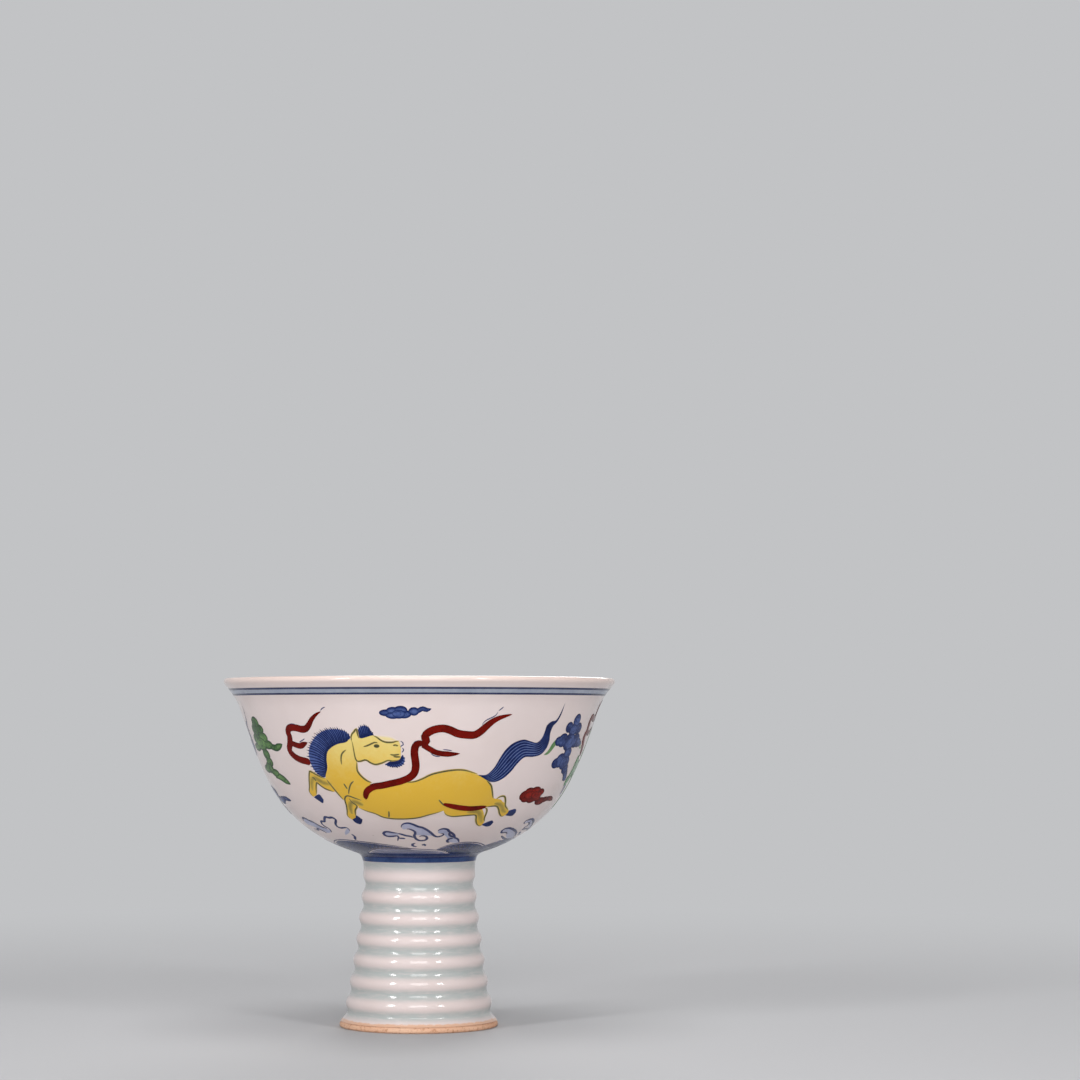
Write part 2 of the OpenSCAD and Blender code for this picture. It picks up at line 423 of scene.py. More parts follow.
@dataclass
class Shell:
    """One or more closed skins: points in millimetres, faces, and values and normals at the points."""

    points: Array
    faces: list[Array]
    values: dict[str, Array] = field(default_factory=dict)
    normals: Array | None = None

    def volume(self) -> float:
        """The enclosed volume: a sixth of the triple product of each triangle's corners, added up.

        Returns:
            The volume, negative where the faces point inwards.
        """
        total = 0.0
        for group in self.faces:
            a = self.points[group[:, 0]]
            for i in range(1, group.shape[1] - 1):
                b, c = self.points[group[:, i]], self.points[group[:, i + 1]]
                total += float(np.einsum("ij,ij->", a, np.cross(b, c))) / 6
        return total

    def outward(self) -> "Shell":
        """Turns the faces to point outwards.

        Returns:
            The shell itself.
        """
        if self.volume() < 0:
            self.faces = [group[:, ::-1] for group in self.faces]
        return self

    @staticmethod
    def joined(shells: list["Shell"]) -> "Shell":
        """Several shells as one.

        Args:
            shells: the shells, with the same values and all with or all without normals.

        Returns:
            One shell with their points in order.
        """
        starts = np.cumsum([0] + [len(s.points) for s in shells[:-1]])
        faces = [group + start for s, start in zip(shells, starts) for group in s.faces]
        values = {key: np.concatenate([s.values[key] for s in shells]) for key in shells[0].values}
        whole = None if shells[0].normals is None else np.vstack([s.normals for s in shells])
        return Shell(np.vstack([s.points for s in shells]), faces, values, whole)

    def thing(self, name: str, finish: "Finish", crease: float = 40.0) -> Thing:
        """The shell as an object in metres.

        Args:
            name: the name of the object and its mesh.
            finish: what dresses it.
            crease: the angle in degrees above which an edge stays sharp.

        Returns:
            The object, linked into the scene.
        """
        mesh = bpy.data.meshes.new(name)
        faces = [face for group in self.faces for face in group.tolist()]
        mesh.from_pydata((self.points * MM).tolist(), [], faces)
        mesh.polygons.foreach_set("use_smooth", np.ones(len(mesh.polygons), bool))
        for key, value in self.values.items():
            mesh.attributes.new(key, "FLOAT", "POINT").data.foreach_set("value", value.astype(np.float32))
        mesh.materials.append(finish.material())
        mesh.update()
        if self.normals is None:
            mesh.set_sharp_from_angle(angle=math.radians(crease))
        else:
            mesh.normals_split_custom_set_from_vertices(self.normals.tolist())
        thing = bpy.data.objects.new(name, mesh)
        bpy.context.scene.collection.objects.link(thing)
        return thing

    def piece(self, name: str, finish: "Finish") -> Thing:
        """The shell as a piece of the cup, riding on its body.

        Args:
            name: the name of the piece.
            finish: what dresses it.

        Returns:
            The piece.
        """
        made = self.thing(name, finish)
        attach(made, "root")
        return made


def revolve(section: Array, segments: int, **values: Array) -> Shell:
    """A closed shell turned about the Z axis.

    The point at (section i, angle t) is (r sin t, -r cos t, z). A section that touches the axis twice
    closes there in two poles; any other runs round as a ring.

    Args:
        section: the closed section as rows of radius and height.
        segments: how many steps round the axis.
        values: numbers at the section's points to carry round with it.

    Returns:
        The shell, faces outwards.
    """
    on_axis = section[:, 0] < ON_AXIS
    poles = bool(on_axis.any())
    if poles:
        first = int(np.flatnonzero(on_axis)[-1])
        section = np.roll(section, -first, axis=0)
        values = {key: np.roll(value, -first) for key, value in values.items()}
    rows = len(section)
    index = np.arange(rows * segments).reshape(rows, segments)
    if poles:
        last = np.full(segments, (rows - 2) * segments + 1)
        index = np.vstack([np.zeros(segments, int), index[: rows - 2] + 1, last])
    turn = 2 * np.pi * np.arange(segments) / segments
    r, z = section[:, :1], section[:, 1:]
    grid = np.stack([r * np.sin(turn), -r * np.cos(turn), z + 0 * turn], 2)
    keep = np.unique(index, return_index=True)[1]
    spread = {key: np.repeat(value, segments)[keep] for key, value in values.items()}
    after = np.roll(index, -1, axis=1)
    if poles:
        below, above, next_below, next_above = index[1:-2], index[2:-1], after[1:-2], after[2:-1]
    else:
        below, next_below = index, after
        above, next_above = np.roll(index, -1, axis=0), np.roll(after, -1, axis=0)
    faces = [np.stack([below, next_below, next_above, above], 2).reshape(-1, 4)]
    if poles:
        faces.append(np.stack([index[0], after[1], index[1]], 1))
        faces.append(np.stack([index[-2], after[-2], index[-1]], 1))
    return Shell(grid.reshape(-1, 3)[keep], faces, spread).outward()


class Wiring:
    """Adds nodes to one node tree and joins them."""

    def __init__(self, tree: Tree) -> None:
        """Keeps the tree that the nodes go into."""
        self.tree = tree

    def add(self, kind: str, inputs: dict[str | int, object] | None = None, **settings: object) -> Node:
        """Adds a node, sets it up and wires its inputs.

        Args:
            kind: the node's type.
            inputs: for each input, a value or the socket that feeds it.
            settings: the node's own settings.

        Returns:
            The new node.
        """
        node = self.tree.nodes.new(kind)
        for key, value in settings.items():
            setattr(node, key, value)
        for key, value in (inputs or {}).items():
            if isinstance(value, Socket):
                self.join(value, node.inputs[key])
            else:
                node.inputs[key].default_value = value
        return node

    def join(self, source: Socket, target: Socket) -> None:
        """Wires one node's output to another's input."""
        self.tree.links.new(source, target)

    def blend(self, share: object, first: object, second: object) -> Socket:
        """A colour between two, by a share of the second."""
        return self.add("ShaderNodeMix", {0: share, 6: first, 7: second}, data_type="RGBA").outputs[2]

    def ramp(self, value: Socket, low: object, high: object) -> Socket:
        """A share that eases from 0 at low to 1 at high."""
        limits = {"Value": value, "From Min": low, "From Max": high}
        return self.add("ShaderNodeMapRange", limits, interpolation_type="SMOOTHSTEP").outputs[0]

    def maths(self, operation: str, *values: object) -> Socket:
        """What an operation of arithmetic makes of values and sockets."""
        return self.add("ShaderNodeMath", dict(enumerate(values)), operation=operation).outputs[0]

    def noise(self, place: Socket, scale: float, detail: float = 2.0) -> Socket:
        """Cloudy noise of a scale per metre, from 0 to 1."""
        inputs = {"Vector": place, "Scale": scale, "Detail": detail}
        return self.add("ShaderNodeTexNoise", inputs).outputs[0]

    def carried(self, name: str) -> Socket:
        """A number that the points of the piece carry."""
        return self.add("ShaderNodeAttribute", attribute_name=name).outputs["Fac"]

    def effect(self, effect: "Effect", inputs: dict[str | int, object]) -> bpy.types.NodeOutputs:
        """What a shared effect puts out, placed in this tree with its own values."""
        return self.add("ShaderNodeGroup", inputs, node_tree=effect.tree()).outputs

    def roughen(self, shader: Node, height: Socket, strength: float) -> None:
        """Bumps a shader's surface by a height."""
        bump = self.add("ShaderNodeBump", {"Height": height, "Strength": strength, "Distance": BUMP_DEPTH})
        self.join(bump.outputs[0], shader.inputs["Normal"])


class Effect(Enum):
    """The node groups that several finishes share."""

    FIRED = "fired_surface"
    BRUSH = "brush_tone"

    def tree(self) -> Tree:
        """Makes the group the first time that it is asked for.

        Returns:
            The group's node tree.
        """
        made = bpy.data.node_groups.get(self.value)
        if made:
            return made
        group = bpy.data.node_groups.new(self.value, "ShaderNodeTree")
        if self is Effect.FIRED:
            self.fired(group)
        else:
            self.brush(group)
        return group

    @staticmethod
    def sockets(group: Tree, takes: dict[str, str], gives: dict[str, str]) -> None:
        """Declares what a group takes and gives.

        Args:
            group: the group.
            takes: the kind of each input, by its name.
            gives: the kind of each output, by its name.
        """
        for side, named in (("INPUT", takes), ("OUTPUT", gives)):
            for name, kind in named.items():
                group.interface.new_socket(name, in_out=side, socket_type="NodeSocket" + kind)

    @classmethod
    def fired(cls, group: Tree) -> None:
        """A fired surface: cloudy mottle, a fine uneven height and scattered specks.

        Args:
            group: the empty group to fill.
        """
        cls.sockets(group, {"Place": "Vector"}, {"Mottle": "Float", "Height": "Float", "Specks": "Float"})
        wire = Wiring(group)
        place = wire.add("NodeGroupInput").outputs["Place"]
        out = wire.add("NodeGroupOutput")
        mottle = wire.ramp(wire.noise(place, scale=70.0, detail=4.0), low=0.3, high=0.7)
        broad, fine = wire.noise(place, scale=160.0, detail=1.0), wire.noise(place, scale=900.0)
        broad_share = 4.0
        height = wire.maths("MULTIPLY_ADD", broad, broad_share, fine)
        cells = wire.add("ShaderNodeTexVoronoi", {"Vector": place, "Scale": 420.0})
        rare = wire.add("ShaderNodeSeparateColor", {0: cells.outputs["Color"]}).outputs[0]
        near = wire.ramp(cells.outputs["Distance"], low=0.14, high=0.04)
        speck = wire.maths("MULTIPLY", wire.ramp(rare, low=0.955, high=0.965), near)
        for name, socket in (("Mottle", mottle), ("Height", height), ("Specks", speck)):
            wire.join(socket, out.inputs[name])

    @classmethod
    def brush(cls, group: Tree) -> None:
        """Brushed colour: pale where it is thin, deep where it pools, and lost in the ground at its edge.

        Args:
            group: the empty group to fill.
        """
        takes = {"Place": "Vector", "Edge": "Float", "Blur": "Float", "Ground": "Color"}
        takes |= {"Pale": "Color", "Deep": "Color", "Settled_and_shade": "Float", "Mottle": "Float"}
        cls.sockets(group, takes, {"Colour": "Color"})
        wire = Wiring(group)
        given = wire.add("NodeGroupInput").outputs
        out = wire.add("NodeGroupOutput")
        broad = wire.noise(given["Place"], scale=300.0, detail=3.0)
        fine, fine_share = wire.noise(given["Place"], scale=1500.0), 0.55
        cloud = wire.maths("MULTIPLY_ADD", fine, fine_share, broad)
        level = wire.maths("SUBTRACT", cloud, (1 + fine_share) / 2)
        # The settled input is how far the paint has settled, and for the enamels that darken down the bowl it is
        # painted shade by height.
        settled = wire.maths("MULTIPLY_ADD", level, given["Mottle"], given["Settled_and_shade"])
        paint = wire.blend(wire.ramp(settled, low=0.0, high=1.0), given["Pale"], given["Deep"])
        reach = wire.ramp(given["Edge"], low=0.0, high=given["Blur"])
        wire.join(wire.blend(reach, given["Ground"], paint), out.inputs["Colour"])


PORCELAIN = shade(235, 220, 217)


@dataclass(frozen=True)
class Finish:
    """A surface finish: one material, made once and used by every piece that wears it."""

    name: str
    roughness: float = 0.12

    def material(self) -> bpy.types.Material:
        """Makes the finish's material the first time that it is asked for.

        Returns:
            The material.
        """
        made = bpy.data.materials.get(self.name)
        if made:
            return made
        fresh = bpy.data.materials.new(self.name)
        fresh.use_nodes = True
        wire = Wiring(fresh.node_tree)
        shader = fresh.node_tree.nodes["Principled BSDF"]
        shader.inputs["Roughness"].default_value = self.roughness
        place = wire.add("ShaderNodeTexCoord").outputs["Object"]
        self.dress(wire, shader, place)
        return fresh

    def dress(self, wire: Wiring, shader: Node, place: Socket) -> None:
        """Wires the finish's pattern into its shader; each kind of finish has its own."""
        raise NotImplementedError


@dataclass(frozen=True)
class Glaze(Finish):
    """Clear porcelain glaze, a little cloudy, and tinted where it lies thick, the tint darkened as painted shade in
    the stem's grooves.
    """

    thin: Colour = PORCELAIN
    cloudy: Colour = shade(231, 215, 211)
    # the grey-green of glaze lying thick, darkened as painted shade for the grooves and neck
    pooled_and_shaded: Colour = shade(183, 189, 187)
    speck: Colour = shade(188, 168, 156)
    lip: Colour = shade(238, 212, 200)
    blush: Colour = shade(230, 186, 158)
    turned: tuple[float, float, float] = (0.16, 0.16, 1.0)
    streak_scale: float = 2400.0
    streaks: tuple[float, float] = (-0.4, 0.7)
    rag_scale: float = 700.0
    rag: float = 0.7
    blushed: tuple[float, float] = (0.72, 1.0)
    ripple: float = 0.05

    def dress(self, wire: Wiring, shader: Node, place: Socket) -> None:
        """Mottles the white, tints it by the piece's own pool, lip and blush values, and ripples it; the pooled tint
        is partly painted shade.

        Args:
            wire: the wiring of the material.
            shader: the shader to feed.
            place: the object's coordinates.
        """
        fired = wire.effect(Effect.FIRED, {"Place": place})
        white = wire.blend(fired["Mottle"], self.thin, self.cloudy)
        speckled = wire.blend(fired["Specks"], white, self.speck)
        turned = wire.add("ShaderNodeVectorMath", {0: place, 1: self.turned}, operation="MULTIPLY").outputs[0]
        streaks = wire.ramp(wire.noise(turned, self.streak_scale, detail=4.0), *self.streaks)
        pooled_and_shaded = wire.blend(wire.maths("MULTIPLY", streaks, wire.carried("pool")), speckled, self.pooled_and_shaded)
        warm = wire.blend(wire.carried("lip"), pooled_and_shaded, self.lip)
        rags = wire.noise(place, self.rag_scale, detail=3.0)
        ragged = wire.maths("MULTIPLY_ADD", rags, self.rag, wire.carried("blush"))
        worn = wire.blend(wire.ramp(ragged, *self.blushed), warm, self.blush)
        wire.join(worn, shader.inputs["Base Color"])
        wire.roughen(shader, fired["Height"], self.ripple)


@dataclass(frozen=True)
class BareClay(Finish):
    """Unglazed fired clay, flushed and specked."""

    roughness: float = 0.75
    body: Colour = shade(238, 196, 166)
    flush: Colour = shade(222, 170, 136)
    grain: Colour = shade(198, 142, 108)
    speck: Colour = shade(120, 78, 54)
    grain_scale: float = 1700.0
    grains: tuple[float, float] = (0.5, 0.75)
    ripple: float = 0.25

    def dress(self, wire: Wiring, shader: Node, place: Socket) -> None:
        """Flushes the clay in clouds, dots it with specks and roughens it.

        Args:
            wire: the wiring of the material.
            shader: the shader to feed.
            place: the object's coordinates.
        """
        fired = wire.effect(Effect.FIRED, {"Place": place})
        clouded = wire.blend(fired["Mottle"], self.body, self.flush)
        grains = wire.ramp(wire.noise(place, self.grain_scale), *self.grains)
        clay = wire.blend(grains, clouded, self.grain)
        wire.join(wire.blend(fired["Specks"], clay, self.speck), shader.inputs["Base Color"])
        wire.roughen(shader, fired["Height"], self.ripple)


@dataclass(frozen=True)
class Paint(Finish):
    """Brushed ceramic colour on a ground, softer at its edges the wider its blur in millimetres."""

    pale: Colour = PORCELAIN
    deep: Colour = PORCELAIN
    ground: Colour = PORCELAIN
    blur: float = 0.1
    ripple: float = 0.05
    sheen: float = 0.32
    mottle: float = 1.5
    settled: float = 0.5
    # painted shade: where set, the paint turns from its pale tone high on the bowl to its deep tone lower down
    shaded_by_height: bool = False
    painted_lit_z: float = 0.067
    painted_shade_z: float = 0.049

    def dress(self, wire: Wiring, shader: Node, place: Socket) -> None:
        """Tones the paint by the marks' own edge value, darkens it down the bowl as painted shade where asked, and
        ripples it.

        Args:
            wire: the wiring of the material.
            shader: the shader to feed.
            place: the object's coordinates.
        """
        shader.inputs["Specular IOR Level"].default_value = self.sheen
        inputs = {"Place": place, "Edge": wire.carried("edge"), "Blur": self.blur, "Ground": self.ground}
        inputs |= {"Pale": self.pale, "Deep": self.deep, "Mottle": self.mottle, "Settled_and_shade": self.settled}
        # Painted shade: the tone follows height, deep low on the bowl and pale high up, in place of light falling
        # from above.
        if self.shaded_by_height:
            height = wire.add("ShaderNodeSeparateXYZ", {0: place}).outputs["Z"]
            inputs["Settled_and_shade"] = wire.ramp(height, self.painted_lit_z, self.painted_shade_z)
        wire.join(wire.effect(Effect.BRUSH, inputs)["Colour"], shader.inputs["Base Color"])
        wire.roughen(shader, wire.effect(Effect.FIRED, {"Place": place})["Height"], self.ripple)


YELLOW_GROUND, GREEN_GROUND, RED_GROUND = shade(230, 192, 76), shade(84, 156, 76), shade(92, 10, 3)
COBALT_GROUND, OLIVE_GROUND = shade(22, 38, 90), shade(40, 72, 38)


class Pot(Enum):
    """The pots of colour on the painter's bench."""

    COBALT_LINE = Paint("cobalt_line", pale=shade(50, 62, 112), deep=shade(28, 38, 86), blur=0.1)
    COBALT_RIM = Paint("cobalt_rim", pale=shade(58, 66, 104), deep=shade(38, 45, 80), blur=0.08)
    LIP_WASH = Paint("rim_wash", pale=shade(178, 184, 197), deep=shade(154, 163, 184), blur=0.2)
    COBALT_DARK = Paint("cobalt_dark", pale=shade(36, 56, 116), deep=shade(14, 30, 80), blur=0.1, sheen=0.2)
    COBALT_TAIL = Paint("cobalt_tail", pale=shade(32, 50, 106), deep=shade(10, 22, 66), blur=0.12, sheen=0.14)
    COBALT_HAIR = Paint(
        "cobalt_hair", pale=shade(26, 44, 98), deep=shade(10, 24, 68), ground=COBALT_GROUND, blur=0.02, sheen=0.2,
    )
    COBALT_STREAK = Paint(
        "cobalt_streak", pale=shade(104, 122, 170), deep=shade(66, 86, 144), ground=COBALT_GROUND, blur=0.1,
        sheen=0.2,
    )
    COBALT_MANE = Paint("cobalt_mane", pale=shade(84, 104, 164), deep=shade(50, 70, 134), blur=0.1, sheen=0.2)
    # Cobalt wash of the sea round the foot: its own blue, painted darker as painted shade under the bowl.
    COBALT_SEA = Paint(
        "cobalt_sea_in_shade", pale=shade(66, 76, 116), deep=shade(36, 48, 88), ground=shade(104, 112, 148), blur=0.2,
        sheen=0.2,
    )
    COBALT_RIPPLE = Paint(
        "cobalt_ripple", pale=shade(42, 54, 94), deep=shade(22, 32, 70), ground=shade(58, 70, 110), blur=0.12,
        sheen=0.2,
    )
    COBALT_SLATE = Paint("cobalt_slate", pale=shade(158, 161, 188), deep=shade(122, 128, 162), blur=0.35)
    COBALT_PALE = Paint("cobalt_pale", pale=shade(192, 193, 215), deep=shade(160, 166, 198), blur=0.35)
    COBALT_BAND = Paint("cobalt_band", pale=shade(58, 84, 134), deep=shade(38, 60, 108), blur=0.14, sheen=0.2)
    # The yellow and green enamels darken lower down the bowl: painted shade.
    YELLOW = Paint(
        "yellow_enamel", 0.14, pale=shade(236, 215, 132), deep=shade(228, 183, 60), ground=YELLOW_GROUND, blur=0.05,
        mottle=0.5, shaded_by_height=True,
    )
    GREEN = Paint(
        "green_enamel", 0.14, pale=shade(104, 174, 92), deep=shade(58, 138, 60), ground=GREEN_GROUND, blur=0.05,
        mottle=0.5, shaded_by_height=True,
    )
    RED = Paint(
        "iron_red", 0.14, pale=shade(124, 15, 4), deep=shade(86, 9, 2), ground=RED_GROUND, blur=0.05, sheen=0.1,
    )
    SPILL_YELLOW = Paint("yellow_spill", pale=shade(240, 226, 172), deep=shade(238, 216, 148), blur=0.7)
    SHADE_YELLOW = Paint(
        "yellow_in_shade", 0.14, pale=shade(176, 150, 66), deep=shade(142, 124, 60), ground=shade(224, 186, 72),
        blur=0.85,
    )
    SHADE_GREEN = Paint(
        "green_in_shade", 0.14, pale=shade(66, 142, 64), deep=shade(46, 116, 54), ground=shade(64, 144, 64),
        blur=0.7,
    )
    SHADE_RED = Paint(
        "red_in_shade", 0.14, pale=shade(108, 10, 5), deep=shade(84, 6, 6), ground=RED_GROUND, blur=0.7, sheen=0.1,
    )
    INK_YELLOW = Paint(
        "line_on_yellow", pale=shade(94, 92, 58), deep=shade(58, 62, 48), ground=shade(212, 184, 92), blur=0.2,
    )
    INK_GREEN = Paint(
        "line_on_green", pale=shade(40, 74, 44), deep=shade(26, 54, 38), ground=shade(80, 138, 72), blur=0.16,
        sheen=0.2,
    )
    INK_RED = Paint(
        "line_on_red", pale=shade(90, 9, 6), deep=shade(64, 5, 7), ground=RED_GROUND, blur=0.12, sheen=0.1,
    )
    CLOUD_BLUE = Paint(
        "cloud_blue", pale=shade(96, 116, 170), deep=shade(46, 66, 124), ground=COBALT_GROUND, blur=0.7, sheen=0.14,
    )
    CLOUD_NAVY = Paint(
        "cloud_navy", pale=shade(80, 100, 156), deep=shade(24, 40, 94), ground=COBALT_GROUND, blur=0.7, sheen=0.1,
        mottle=2.2,
    )
    CLOUD_GREEN = Paint(
        "cloud_green", pale=shade(104, 146, 80), deep=shade(40, 80, 42), ground=OLIVE_GROUND, blur=0.6, sheen=0.14,
        mottle=2.2,
    )
    CLOUD_RED = Paint(
        "cloud_red", pale=shade(152, 28, 12), deep=shade(84, 8, 4), ground=shade(80, 8, 4), blur=0.6, sheen=0.1,
        mottle=2.2,
    )
    RIM_GREEN = Paint("cloud_rim_green", pale=shade(54, 84, 56), deep=shade(32, 60, 44), blur=0.05, sheen=0.14)
    RIM_RED = Paint(
        "cloud_rim_red", pale=shade(104, 12, 6), deep=shade(72, 6, 6), ground=RED_GROUND, blur=0.05, sheen=0.1,
    )
    RIM_YELLOW = Paint("cloud_rim_yellow", pale=shade(120, 108, 62), deep=shade(84, 80, 54), blur=0.05)
    LEAF_GREEN = Paint("leaf_green", pale=shade(126, 160, 108), deep=shade(80, 124, 70), blur=0.25)
    CLOUD_YELLOW = Paint(
        "cloud_yellow", pale=shade(238, 208, 104), deep=shade(228, 184, 66), ground=shade(140, 122, 58), blur=0.6,
    )


class Layer(Enum):
    """How high above the glaze a layer of paint stands, in millimetres."""

    WASH = 0.020
    LINE = 0.034
    DETAIL = 0.044
    ENAMEL = 0.058
    SHADE = 0.064
    OVER = 0.074
    TOP = 0.092


TAPER_POWER = 0.6  # how full a tapering stroke stays towards its tip: 1 is a straight taper


class Ends(Enum):
    """How a brush stroke's width runs from its start to its end."""

    EVEN = "even"
    POINTED = "pointed"
    RIBBON = "ribbon"
    HAIR = "hair"

    def share(self, t: Array) -> Array:
        """The share of the full width along a stroke.

        Even and pointed strokes swell and close as a power of the way to their middle, hairs start
        broad and taper at their tip, and ribbons start round and taper longer.

        Args:
            t: shares of the stroke's length.

        Returns:
            The share of the width at each.
        """
        if self in (Ends.EVEN, Ends.POINTED):
            blunt = 14 if self is Ends.EVEN else 3
            return np.sqrt(np.maximum(0, 1 - np.abs(2 * t - 1) ** blunt))
        opening, closing = (0.0, 0.16) if self is Ends.HAIR else (0.03, 0.3)
        tip = np.minimum(1, (1 - t) / closing) ** TAPER_POWER
        return np.sqrt(np.minimum(1, t / opening)) * tip if opening else tip

    @property
    def step(self) -> float:
        """Millimetres between a stroke's points, more for hairs because there are so many."""
        return 1.0 if self is Ends.HAIR else 0.4


class Skin:
    """The bowl's outside as a sheet: degrees round it, and millimetres up it from the joint."""

    def __init__(self, form: CupForm) -> None:
        """Measures the skin's length, place and outward direction along its profile.

        Args:
            form: the cup's profile.
        """
        path = form.outer_skin()
        along = heading(path)
        self.up = run(path)
        self.radius, self.height = path[:, 0], path[:, 1]
        self.out, self.lift = along[:, 1], -along[:, 0]

    def girth(self, up: Array | float) -> Array | float:
        """Millimetres round the skin for each degree, at heights up it."""
        return np.radians(np.interp(up, self.up, self.radius))

    def samples(self, points: Points, step: float, limits: tuple[int, int]) -> int:
        """How many samples a path over the skin takes.

        Args:
            points: the path's points.
            step: millimetres from sample to sample.
            limits: the fewest and the most samples.

        Returns:
            The number of samples.
        """
        chain = np.asarray(points, float)
        round_it = np.diff(chain[:, 0]) * self.girth(chain[:-1, 1])
        length = np.hypot(round_it, np.diff(chain[:, 1])).sum()
        return int(np.clip(length / step, *limits))

    def place(self, spots: Array, height: Array) -> tuple[Array, Array]:
        """Points over the skin, and the skin's outward directions there.

        Args:
            spots: degrees round and millimetres up, in the last axis.
            height: millimetres above the skin.

        Returns:
            Points in millimetres and unit directions, both with three coordinates in the last axis.
        """
        turn, up = np.radians(spots[..., 0]), spots[..., 1]
        r, z, out, lift = (np.interp(up, self.up, v) for v in (self.radius, self.height, self.out, self.lift))
        sine, cosine = np.sin(turn), -np.cos(turn)
        far = r + out * height
        points = np.stack([far * sine, far * cosine, z + lift * height], -1)
        return points, np.stack([out * sine, out * cosine, lift], -1)


STROKE_SAMPLES, STROKE_HALF_W = (7, 200), 0.012  # a stroke's fewest and most samples, its least half width
FILL_SAMPLES, FILL_STEP = (12, 160), 0.35  # a patch's fewest and most samples, millimetres between them
INSET_SAMPLES, LINE_SAMPLES, HATCH_SAMPLES = 30, 24, 200  # along a patch that marks are made from
HATCH_END, HATCH_BOW = 0.01, (0.10, -0.05)  # the bare ends of a patch, and how a hair across it bends
HATCH_BEAT, HATCH_SWING = 2.4, 0.4  # how quickly and how much hairs take turns to be long and short
DAB_SAMPLES, DAB_EDGE = 18, 0.006  # along half an oval, and millimetres that keep its halves apart
CURL_SAMPLES, CURL_TURN, CURL_REACH = 9, (200, -190), (0.62, 0.16)  # of the curl inside a dab


@dataclass(frozen=True)
class Stroke:
    """A brush stroke along a smooth path, of a width in millimetres."""

    points: Points
    width: float = 0.54
    ends: Ends = Ends.POINTED

    @staticmethod
    def each(*paths: Points, width: float = 0.54) -> tuple["Stroke", ...]:
        """A pointed stroke along each of several paths."""
        return tuple(Stroke(path, width) for path in paths)

    def edges(self, skin: Skin) -> tuple[Array, Array]:
        """The stroke's two edges, half its width to either side of its path.

        Args:
            skin: the sheet that it lies on.

        Returns:
            The left and the right edge.
        """
        path = smooth_path(self.points, skin.samples(self.points, self.ends.step, STROKE_SAMPLES))
        girth = skin.girth(path[:, 1])
        along = np.stack([np.gradient(path[:, 0]) * girth, np.gradient(path[:, 1])], 1)
        along /= np.linalg.norm(along, axis=1)[:, None]
        half = self.width / 2 * self.ends.share(np.linspace(0, 1, len(path)))
        half = np.maximum(half, STROKE_HALF_W)
        side = np.stack([-along[:, 1] / girth, along[:, 0]], 1) * half[:, None]
        return path + side, path - side

    def wider(self, by: float, least: float = 0.1) -> "Stroke":
        """The same stroke, wider by a length, or thinner by one below zero."""
        return Stroke(self.points, max(least, self.width + by), self.ends)


@dataclass(frozen=True)
class Fill:
    """A patch of paint between two smooth edges that start and end near each other."""

    one: Points
    other: Points

    @staticmethod
    def each(*edges: Points) -> tuple["Fill", ...]:
        """The patches between edges taken two by two."""
        return tuple(Fill(one, other) for one, other in zip(edges[::2], edges[1::2]))

    def sides(self, count: int) -> tuple[Array, Array]:
        """The patch's two edges as count points each."""
        return smooth_path(self.one, count), smooth_path(self.other, count)

    def edges(self, skin: Skin) -> tuple[Array, Array]:
        """The patch's two edges, sampled alike by the length of the one."""
        return self.sides(skin.samples(self.one, FILL_STEP, FILL_SAMPLES))

    def inset(self, share: float) -> "Fill":
        """The patch with its one edge drawn in by a share of the way to the other."""
        one, other = self.sides(INSET_SAMPLES)
        return Fill(tuple(map(tuple, one + (other - one) * share)), self.other)

    def between(self, shares: Array, width: float, start: float, end: float) -> tuple[Stroke, ...]:
        """Lines that run along the patch at shares of the way from one edge to the other.

        Args:
            shares: how far each line lies from the one edge to the other.
            width: the lines' width in millimetres.
            start: where they start, as a share of the patch's length.
            end: where they end.

        Returns:
            The lines.
        """
        one, other = self.sides(LINE_SAMPLES)
        kept = slice(int(LINE_SAMPLES * start), int(LINE_SAMPLES * end))
        lines = [(one * (1 - s) + other * s)[kept] for s in shares]
        return Stroke.each(*(tuple(map(tuple, line)) for line in lines), width=width)

    def hatch(self, count: int, over: float, lean: float, width: float) -> tuple[Stroke, ...]:
        """Short strokes across the patch from its other edge to past its one edge.

        Args:
            count: how many strokes.
            over: the share of their length by which they pass the edge, long and short in turn.
            lean: the share of the patch's length by which they lean.
            width: their width in millimetres.

        Returns:
            The strokes, thick at their root.
        """
        one, other = self.sides(HATCH_SAMPLES)
        root = np.linspace(HATCH_END, 1 - HATCH_END, count)
        tip = np.clip(root + lean, 0, 1)
        a, b = (side[(at * (HATCH_SAMPLES - 1)).astype(int)] for side, at in ((other, root), (one, tip)))
        beat = 1 - HATCH_SWING + HATCH_SWING * np.cos(np.arange(count) * HATCH_BEAT)
        reach = 1 + over * beat[:, None]
        end = a + (b - a) * reach
        bend = (a + end) / 2 + (b - a)[:, ::-1] * HATCH_BOW
        return tuple(Stroke(tuple(map(tuple, hair)), width, Ends.HAIR) for hair in zip(a, bend, end))


